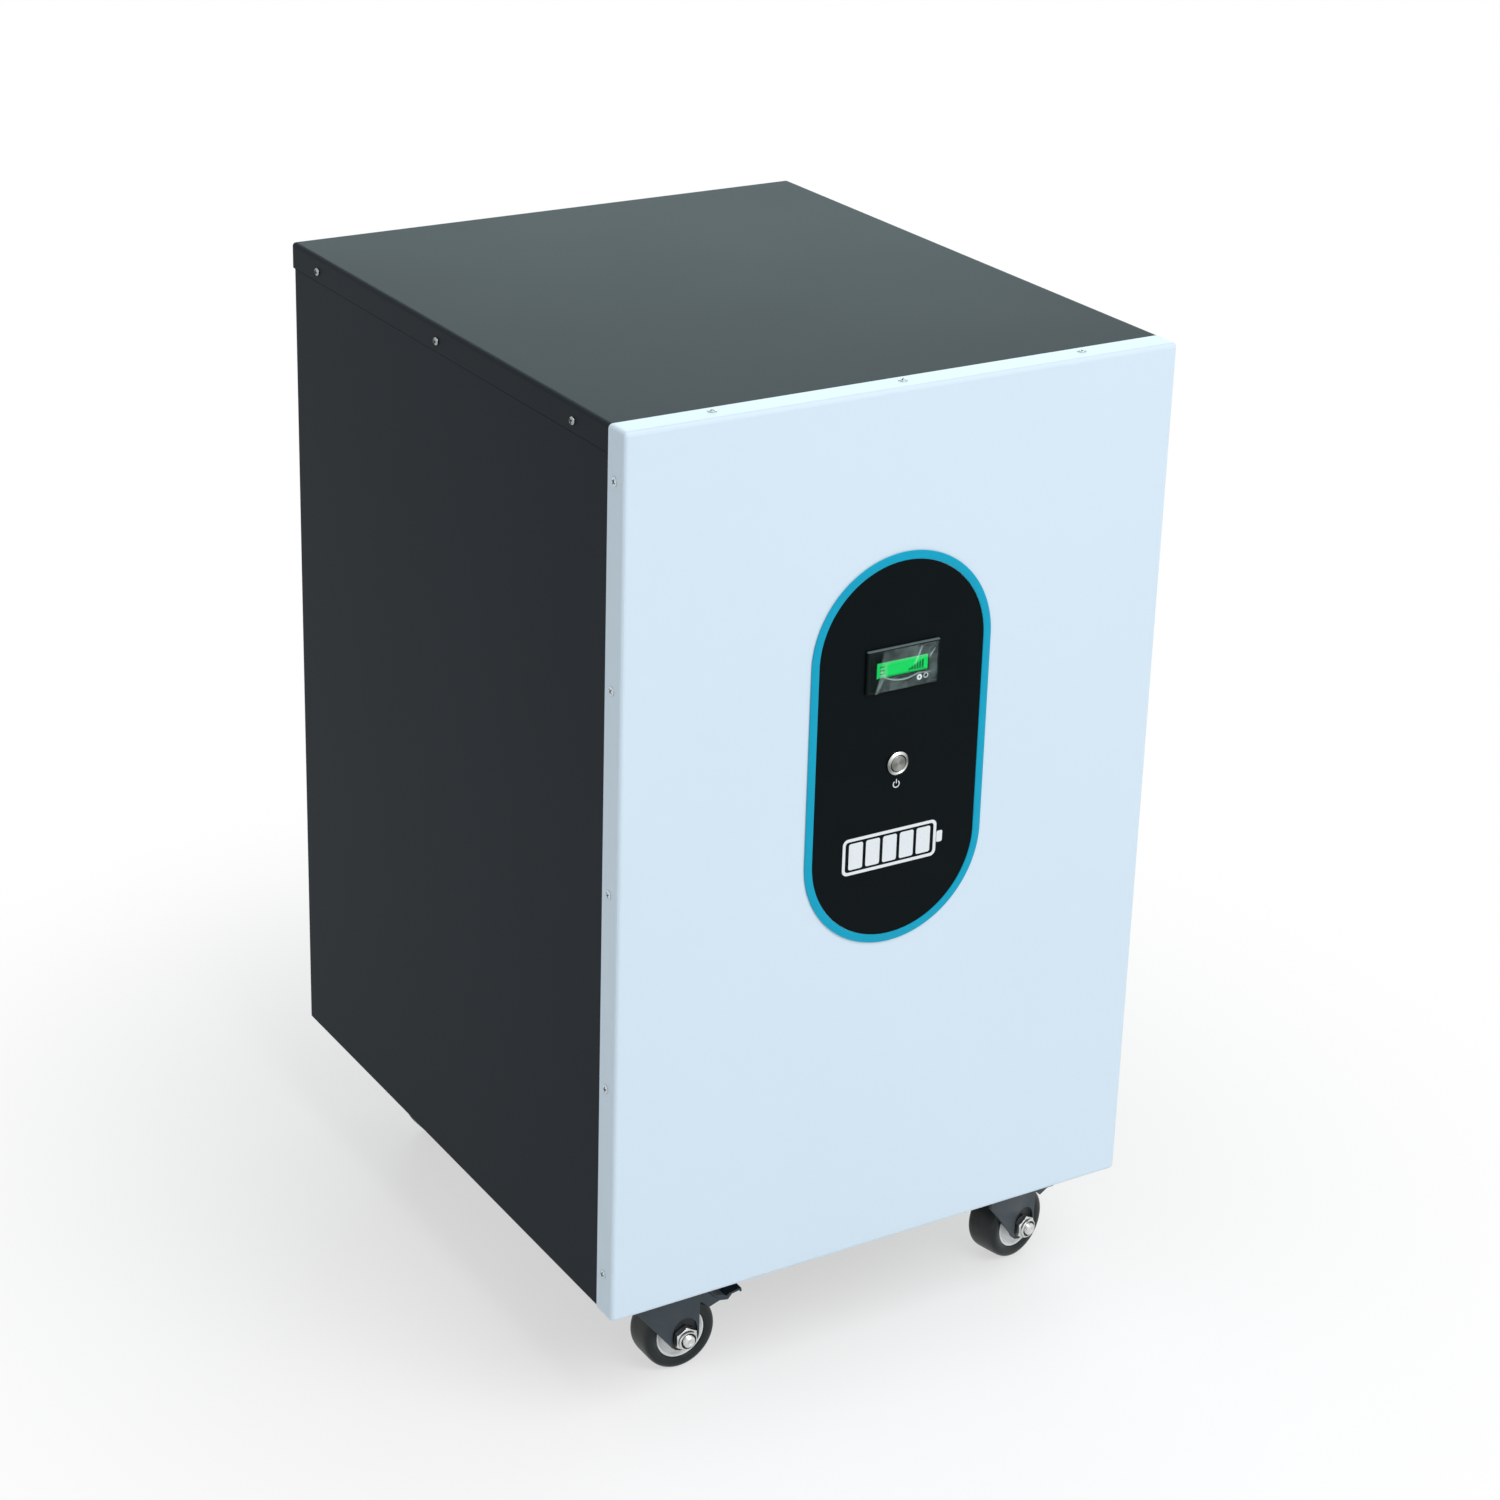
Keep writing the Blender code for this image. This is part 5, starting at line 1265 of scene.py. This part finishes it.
# %% Signs on the panel
INK = 0.05 * MM
FILM_FACE = on_front(film_low.y)
SIGN_X, SIGN_Z = -3.2 * MM, 427.9 * MM
SIGN_WIDTH, SIGN_HEIGHT, SIGN_STROKE = 80.0 * MM, 28.6 * MM, 2.4 * MM
BAR_WIDTH, BAR_HEIGHT, BAR_PITCH = 11.8 * MM, 20.4 * MM, 14.4 * MM
NUB_WIDTH, NUB_HEIGHT, NUB_GAP = 5.0 * MM, 8.8 * MM, 0.4 * MM
BARS = 5
POWER_Z = 477.2 * MM
POWER_RADIUS, POWER_STROKE = 2.9 * MM, 0.75 * MM
POWER_FROM, POWER_TO = 128, 412

inner_width, inner_height = SIGN_WIDTH - 2 * SIGN_STROKE, SIGN_HEIGHT - 2 * SIGN_STROKE
battery = [
    round_box((SIGN_X, SIGN_Z), SIGN_WIDTH, SIGN_HEIGHT, 4.6 * MM),
    round_box((SIGN_X, SIGN_Z), inner_width, inner_height, 2.6 * MM),
]
for index in range(BARS):
    bar_x = SIGN_X + (index - (BARS - 1) / 2) * BAR_PITCH
    battery.append(round_box((bar_x, SIGN_Z), BAR_WIDTH, BAR_HEIGHT, 1.6 * MM))
nub_x = SIGN_X + SIGN_WIDTH / 2 + NUB_GAP + NUB_WIDTH / 2
battery.append(round_box((nub_x, SIGN_Z), NUB_WIDTH, NUB_HEIGHT, 1.2 * MM))
show("battery_sign", slab(battery, INK), "ink_white", "cabinet", FILM_FACE)

open_ring = arc((0, POWER_Z), POWER_RADIUS, POWER_FROM, POWER_TO, 40)
open_ring += arc((0, POWER_Z), POWER_RADIUS - POWER_STROKE, POWER_TO, POWER_FROM, 40)
stem = round_box((0, POWER_Z + 2.2 * MM), POWER_STROKE, 3.4 * MM, 0.3 * MM, 3)
show("power_sign", slab([open_ring, stem], INK), "ink_white", "cabinet", FILM_FACE)
print("battery sign with", BARS, "bars, power sign", round(2 * POWER_RADIUS / MM, 1), "mm wide")

# %% [markdown]
# The push-button is a steel bezel with a bright chamfer and a cap that sits a little below it. The cap is
# gently dished, as a finger rest. Both are turned from profiles in the CAD's own sizes, so the cap keeps
# its travel inside the bezel's bore.

# %% Push-button
BEZEL_PROFILE = [
    (6.3, 5.2), (6.3, 0.9), (7.0, 0.0), (7.5, 0.0), (8.85, 1.0), (9.0, 1.3), (9.0, 2.2), (7.85, 2.2),
    (7.85, 3.4), (7.55, 3.8), (7.85, 4.2), (7.85, 26.0), (7.2, 27.3), (6.3, 27.3),
]
CAP_PROFILE = [
    (0, 0.35), (2.6, 0.28), (4.6, 0.12), (5.3, 0.0), (5.7, 0.05), (6.0, 0.4), (6.0, 3.0), (2.0, 3.0),
    (2.0, 11.0), (0, 11.0),
]


def turned_profile(points, corner):
    """A profile in metres from points in millimetres, with its corners rounded off."""
    return rounded([(radius * MM, along * MM) for radius, along in points], corner)


def on_button(node):
    """The place on the button's axis where a node starts."""
    return Matrix.Translation((0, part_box(node)[0].y, BUTTON_Z))


bezel_ring = turned_profile(BEZEL_PROFILE, 0.14 * MM)
bezel_mesh = lathe(bezel_ring + bezel_ring[:1], WHEEL_STEPS)
bezel_at = on_button("button_bezel")
show("button_bezel_turned", bezel_mesh, "button_steel", "cabinet", bezel_at, ["button_bezel"])
cap_mesh = lathe(turned_profile(CAP_PROFILE, 0.12 * MM), WHEEL_STEPS)
cap_at = on_button("button_cap")
show("button_cap_turned", cap_mesh, "button_steel", "power_button", cap_at, ["button_cap"])
print("button", 2 * max(radius for radius, along in BEZEL_PROFILE), "mm across its head")

# %% [markdown]
# The meter's housing is the CAD's, softened at its moulded edges. On its face lie two round keys, one a
# thick ring and one a thin one, and on the display a few dark level bars. They stand for the meter's own
# marks without any wording.

# %% Meter
LCD_LOW, LCD_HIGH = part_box("meter_display")
PANE_FACE = on_front(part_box("meter_window")[0].y)
KEY_Z = METER_Z - 9.9 * MM


def level_bar(x, z, width, height, corner=0.2):
    """A dark bar on the display, in millimetres from the meter's middle."""
    return round_box((x * MM, METER_Z + z * MM), width * MM, height * MM, corner * MM, 2)


housing = softened("meter_housing", 0.3 * MM)
show("meter_case", housing, "meter_black", "cabinet", stands_for=["meter_housing"], sharp=0)
level_bars = []
for index in range(6):
    tall = 2.0 + 0.9 * index
    level_bars.append(level_bar(6.0 + 2.2 * index, tall / 2 - 4.0, 1.4, tall))
level_bars += [level_bar(-17.0, 2.6 * (index - 1), 4.0, 1.0) for index in range(3)]
level_bars.append(level_bar(0, -4.9, 40, 0.35, 0.1))
show("display_levels", slab(level_bars, INK), "lcd_dark", "cabinet", on_front(LCD_LOW.y))
keys = [disc((13.6 * MM, KEY_Z), radius * MM) for radius in (2.2, 0.8)]
keys += [disc((19.0 * MM, KEY_Z + 0.4 * MM), radius * MM) for radius in (1.95, 1.45)]
show("meter_keys", slab(keys, INK), "ink_white", "cabinet", PANE_FACE)
print("meter display", round((LCD_HIGH.x - LCD_LOW.x) / MM), "mm wide, with", len(level_bars), "marks")

# %% [markdown]
# The meter still wears its thin protective film: slack, creased, and short of the left edge. Over the
# display the film clings to the window and is clear, and elsewhere it is milky. A crease is made whiter
# and more opaque, a painted glint: the mesh will carry how creased each point is as an attribute, and the
# finish reads it.

# %% Film finish
CLING_INSET = 7 * MM
CLING_FROM, CLING_TO = 0.3 * MM, -0.7 * MM


def clinging(place, axis, low, high):
    """1 where a place lies between two limits along an axis, and 0 outside them."""
    reach = place.maths("ABSOLUTE", part(place, axis) - (low + high) / 2)
    half = (high - low) / 2
    return rise(reach, half + CLING_FROM, half + CLING_TO)


def film_finish(wire):
    crease = wire.node("Attribute", {"attribute_name": "crease"}).output("Fac")
    haze = rise(cloud(wire, 9 * MM, 4), 0.36, 0.64)
    place = own_place(wire)
    cling = clinging(place, "X", LCD_LOW.x + CLING_INSET, LCD_HIGH.x)
    cling = cling * clinging(place, "Z", LCD_LOW.z, LCD_HIGH.z)
    return {
        "Base Color": (0.60, 0.81, 0.79),
        "Roughness": 0.16 + 0.14 * haze,
        "Specular IOR Level": 0.5,
        # Along a crease the film is made more opaque and white, a painted glint.
        "Alpha": (0.026 + 0.060 * haze) * (1 - 0.92 * cling) + 0.37 * crease,
    }


finish("film_clear", film_finish)

# %% [markdown]
# A crease is a smooth line through a few places, read off the picture in millimetres from the meter's
# middle, with its width and height. A point of the film is as creased as the strongest crease near it
# says, and each crease fades towards its ends. A cloth simulation would fold the film somewhere else in
# every trial, so a formula is used.

# %% Creases
CREASES = [
    (0.9, 1.2, [
        (-20.4, 2.5), (-17.6, -2.0), (-14.4, -5.4), (-5.3, -8.3), (3.9, -8.3), (12.1, -6.5), (22.3, -7.0),
    ]),
    (1.0, 1.2, [(9.0, 1.0), (11.6, 7.0), (14.4, 13.6)]),
    (0.9, 1.0, [(20.9, 4.3), (25.5, 10.0)]),
    (1.6, 0.4, [(-22.0, -15.0), (-17.5, -5.5)]),
]
FADE_FROM, FADE_SPAN = 0.12, 0.76
RIDGE_POWER = 1.5


def curved(places, per_leg=6):
    """Points on a smooth (Catmull-Rom) curve through those places."""
    spots = [Vector(place) for place in places]
    ends = [2 * spots[0] - spots[1], *spots, 2 * spots[-1] - spots[-2]]
    line = []
    for before, start, end, after in zip(ends, ends[1:], ends[2:], ends[3:]):
        for step in range(per_leg):
            t = step / per_leg
            bend = (end - before) * t + (2 * before - 5 * start + 4 * end - after) * t**2
            line.append(start + (bend + (3 * start - before - 3 * end + after) * t**3) / 2)
    return line + [spots[-1]]


crease_lines = [(width, height, curved(places)) for width, height, places in CREASES]


def ridge(x, z):
    """How strongly a point of the film is creased, from 0 to about 1."""
    most = 0.0
    point = Vector((x, z))
    for width, height, line in crease_lines:
        legs = list(zip(line, line[1:]))
        for index, (start, end) in enumerate(legs):
            along = end - start
            share = max(0.0, min(1.0, (point - start).dot(along) / along.length_squared))
            gap = (point - start - along * share).length
            fade = math.sin(math.pi * (FADE_FROM + FADE_SPAN * (index + share) / len(legs)))
            most = max(most, height * fade * max(0.0, 1 - gap / width) ** RIDGE_POWER)
    return most


print("creases through", sum(len(line) for width, height, line in crease_lines), "points")

# %% [markdown]
# The film itself is a grid of points. It lies just off the meter's face, waves a little and stands up
# along the creases. Its left edge is cut at a slant, and its lower left corner is a tab for pulling it
# off. A Solidify modifier gives it a thickness, so that the piece is a closed body.

# %% Protective film
FILM_COLUMNS, FILM_ROWS = 110, 64
FILM_LOW, FILM_TALL, FILM_RIGHT = -15.6, 30.6, 28.2
CUT_LEFT, CUT_SLANT = -23.6, 6.8
CUT_WAVE, CUT_BEND = 0.7, 5.0
TAB_LEFT, TAB_WIDTH, TAB_DROP = -24, 5.5, 1.1
OFF_FACE, CREASE_LIFT = 0.12, 0.55
SLACK, SLACK_X, SLACK_Z = 0.10, 0.31, 0.2
FILM_THICK = 0.06 * MM
METER_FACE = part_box("meter_housing")[0].y

film_bm = bmesh.new()
crease_layer = film_bm.verts.layers.float.new("crease")
rows = []
for up in range(FILM_ROWS + 1):
    row = []
    share = up / FILM_ROWS
    z = FILM_LOW + FILM_TALL * share
    left = CUT_LEFT + CUT_SLANT * share + CUT_WAVE * math.sin(CUT_BEND * share)
    for across in range(FILM_COLUMNS + 1):
        x = left + (FILM_RIGHT - left) * across / FILM_COLUMNS
        tab = TAB_DROP * max(0.0, 1 - (x - TAB_LEFT) / TAB_WIDTH) if up == 0 else 0.0
        creased = ridge(x, z)
        slack = SLACK * math.sin(SLACK_X * x + SLACK_Z * z) ** 2
        lift = OFF_FACE + slack + CREASE_LIFT * creased
        vert = film_bm.verts.new((x * MM, METER_FACE - lift * MM, METER_Z + (z - tab) * MM))
        # Each point keeps how creased it is, for the film's painted glint.
        vert[crease_layer] = min(1.0, creased)
        row.append(vert)
    rows.append(row)
for lower, upper in zip(rows, rows[1:]):
    for index in range(FILM_COLUMNS):
        film_bm.faces.new((lower[index], lower[index + 1], upper[index + 1], upper[index]))
film_piece = show("meter_film", to_mesh(film_bm), "film_clear", "cabinet", sharp=80)
thickness = film_piece.modifiers.new("thickness", "SOLIDIFY")
thickness.thickness = FILM_THICK
thickness.offset = 0
print("film with", len(CREASES), "creases")

# %% [markdown]
# The back carries the terminals. The studs are threaded for a nut, and the insulators are stepped bosses
# with grip flutes round the flange, red for plus and black for minus. They are turned like the wheels, in
# the CAD's sizes, and the flat seat of each stud's collar stays free for a cable's lug.

# %% Terminals
REAR_FACE = rear_high.y
STUD_RADIUS = 4 * MM
STUD_COLLAR = [
    (0, -26), (4, -26), (4, 14.3), (8.7, 14.3), (9, 14.6), (9, 17.0), (8.7, 17.3), (3.5, 17.3),
]
FLUTES = 24
BOSS_PROFILE = [
    (4.3, 0, -7.5), (8.4, 0, -7.5), (8.7, 0, -7.2), (8.7, 0, 0.3), (16.4, 0.5, 0.3), (17, 0.6, 0.9),
    (17, 0.6, 5.2), (16.4, 0.5, 6.0), (13.0, 0, 6.6), (12.2, 0, 7.6), (12, 0, 8.4), (12, 0, 13.4),
    (11.4, 0, 14), (4.3, 0, 14), (4.3, 0, -7.5),
]


def fluted(radius, depth, along):
    """A ring with shallow flutes for grip."""
    points = []
    for step in range(ROUND * 2):
        angle = math.pi * step / ROUND
        points.append(polar(radius - depth * (0.5 - 0.5 * math.cos(FLUTES * angle)), along, angle))
    return points


def on_rear(node):
    """The place on the rear panel's face where a node is fixed."""
    return Matrix.Translation((middle(node).x, REAR_FACE, middle(node).z))


stud_thread = threaded(STUD_RADIUS, 17.6 * MM, 27.2 * MM, pitch=1.25 * MM, depth=0.6 * MM)
stud_mesh = spun(circles(STUD_COLLAR) + stud_thread + circles([(2.8, 28), (0, 28)]))
boss_mesh = spun([fluted(radius * MM, depth * MM, along * MM) for radius, depth, along in BOSS_PROFILE])
for pole, colour in (("positive", "insulator_red"), ("negative", "insulator_black")):
    stud, insulator = f"{pole}_stud", f"{pole}_insulator"
    show(f"{pole}_stud_threaded", stud_mesh, "brass", "cabinet", on_rear(stud), [stud], 30)
    show(f"{pole}_boss", boss_mesh.copy(), colour, "cabinet", on_rear(stud), [insulator], 30)
print("studs", round(2 * STUD_RADIUS / MM, 1), "mm, bosses with", FLUTES, "flutes")

# %% [markdown]
# Beside the terminals are the breaker with its lever, the socket with two ports and the earth stud. The
# breaker, lever and socket are softened CAD shapes. The earth stud is a hexagon with a threaded shank.

# %% Breaker, socket and earth stud
EARTH_FLATS, EARTH_TALL, EARTH_RADIUS = 10 * MM, 5.3 * MM, 3 * MM

for node, edge, body in (
    ("breaker_body", 0.6 * MM, "cabinet"),
    ("breaker_lever", 0.5 * MM, "breaker_toggle"),
    ("comm_socket", 0.25 * MM, "cabinet"),
):
    show(f"{node}_moulded", softened(node, edge), SLOT_OF[node], body, stands_for=[node], sharp=0)
earth_at = on_rear("earth_stud")
earth_levels = [(0.3 * MM, 6 * MM)] + chamfer_levels(EARTH_FLATS, EARTH_TALL, -1)[::-1]
earth_rings = circles([(0, -8), (3, -8), (3, 0.3)]) + hexed(EARTH_FLATS, earth_levels)
earth_rings += circles([(2.6, 5.3)])
earth_rings += threaded(EARTH_RADIUS, 5.5 * MM, 14.5 * MM, pitch=1.0 * MM, depth=0.5 * MM)
earth_rings += circles([(2.2, 15), (0, 15)])
show("earth_stud_threaded", spun(earth_rings), "brass", "cabinet", earth_at, ["earth_stud"], 24)
print("earth stud", round(2 * EARTH_RADIUS / MM, 1), "mm")

# %% [markdown]
# The ports get their eight sprung contacts each. A contact is a flat strip that is bent back on itself,
# so its side view is drawn once and given the strip's width, pin by pin.

# %% Port contacts
PORTS = (-8 * MM, 8 * MM)
PINS, PIN_PITCH, PIN_HALF = 8, 1.02 * MM, 0.22 * MM
PIN_STRIP = [(-13.5, 3.6), (-9.0, 3.4), (-3.0, 0.6), (-2.4, 0.9), (-8.6, 3.75), (-13.5, 3.95)]
SOCKET_FACE, SOCKET_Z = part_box("comm_socket")[1].y, middle("comm_socket").z

contact_bm = bmesh.new()
for port_x in PORTS:
    for pin in range(PINS):
        pin_x = port_x + (pin - (PINS - 1) / 2) * PIN_PITCH
        ends = []
        for x in (pin_x - PIN_HALF, pin_x + PIN_HALF):
            places = [(x, SOCKET_FACE + y * MM, SOCKET_Z + z * MM) for y, z in PIN_STRIP]
            ends.append([contact_bm.verts.new(spot) for spot in places])
            contact_bm.faces.new(ends[-1])
        for index in range(len(PIN_STRIP)):
            after = (index + 1) % len(PIN_STRIP)
            contact_bm.faces.new((ends[0][index], ends[0][after], ends[1][after], ends[1][index]))
show("port_contacts", to_mesh(contact_bm), "brass", "cabinet", sharp=30)
print("ports with", len(PORTS) * PINS, "contacts")

# %% [markdown]
# The signs at the back are the plain ones that such fittings always carry: plus and minus at the
# terminals, the earth sign, and a line and a circle for on and off at the lever. They are white ink on
# the dark sheet and dark ink on the grey breaker.

# %% Signs at the back
POLE_X, POLE_SIGN_Z = middle("positive_stud").x, middle("positive_stud").z + 30 * MM
ARM, ARM_WIDTH = 6 * MM, 2.2 * MM
EARTH_X, EARTH_SIGN_Z = earth_at.translation.x, earth_at.translation.z + 22 * MM
BREAKER_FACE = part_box("breaker_body")[1].y
BREAKER_Z, LEVER_SIGN = joints["breaker_throw"]["pos_m"][2], 15.6 * MM


def on_back(y):
    """The place of a sheet that lies on the back at that depth, facing away from the front."""
    return Matrix.Translation((0, y, 0)) @ Matrix.Rotation(math.pi, 4, "Z") @ UPRIGHT


def stroke(x, z, width, height):
    """One printed stroke. Seen from behind, x runs the other way."""
    return round_box((-x, z), width, height, 0.45 * min(width, height), 4)


plus = []
for right, up in QUARTERS:
    inner_x, inner_z = right * ARM_WIDTH / 2, up * ARM_WIDTH / 2
    tips = [(right * ARM, inner_z), (inner_x, inner_z), (inner_x, up * ARM)]
    plus += tips if right * up > 0 else tips[::-1]
back_marks = [[(x - POLE_X, z + POLE_SIGN_Z) for x, z in plus]]
back_marks.append(stroke(-POLE_X, POLE_SIGN_Z, 2 * ARM, ARM_WIDTH))
back_marks.append(stroke(EARTH_X, EARTH_SIGN_Z + 3.4 * MM, 1.2 * MM, 5.6 * MM))
for index, width in enumerate((10, 6.4, 2.8)):
    back_marks.append(stroke(EARTH_X, EARTH_SIGN_Z - 2.4 * MM * index, width * MM, 1.2 * MM))
show("back_signs", slab(back_marks, INK), "ink_white", "cabinet", on_back(REAR_FACE))
on_off = [stroke(0, BREAKER_Z + LEVER_SIGN, 1.0 * MM, 6 * MM)]
on_off += [disc((0, BREAKER_Z - LEVER_SIGN), radius * MM) for radius in (3.0, 2.1)]
show("on_off_signs", slab(on_off, INK), "lever_black", "cabinet", on_back(BREAKER_FACE))
print("outlines of the signs at the back", len(back_marks) + len(on_off))

# %% [markdown]
# The dressed cabinet stays the CAD's size, apart from screw heads and film that stand a millimetre or two
# proud.
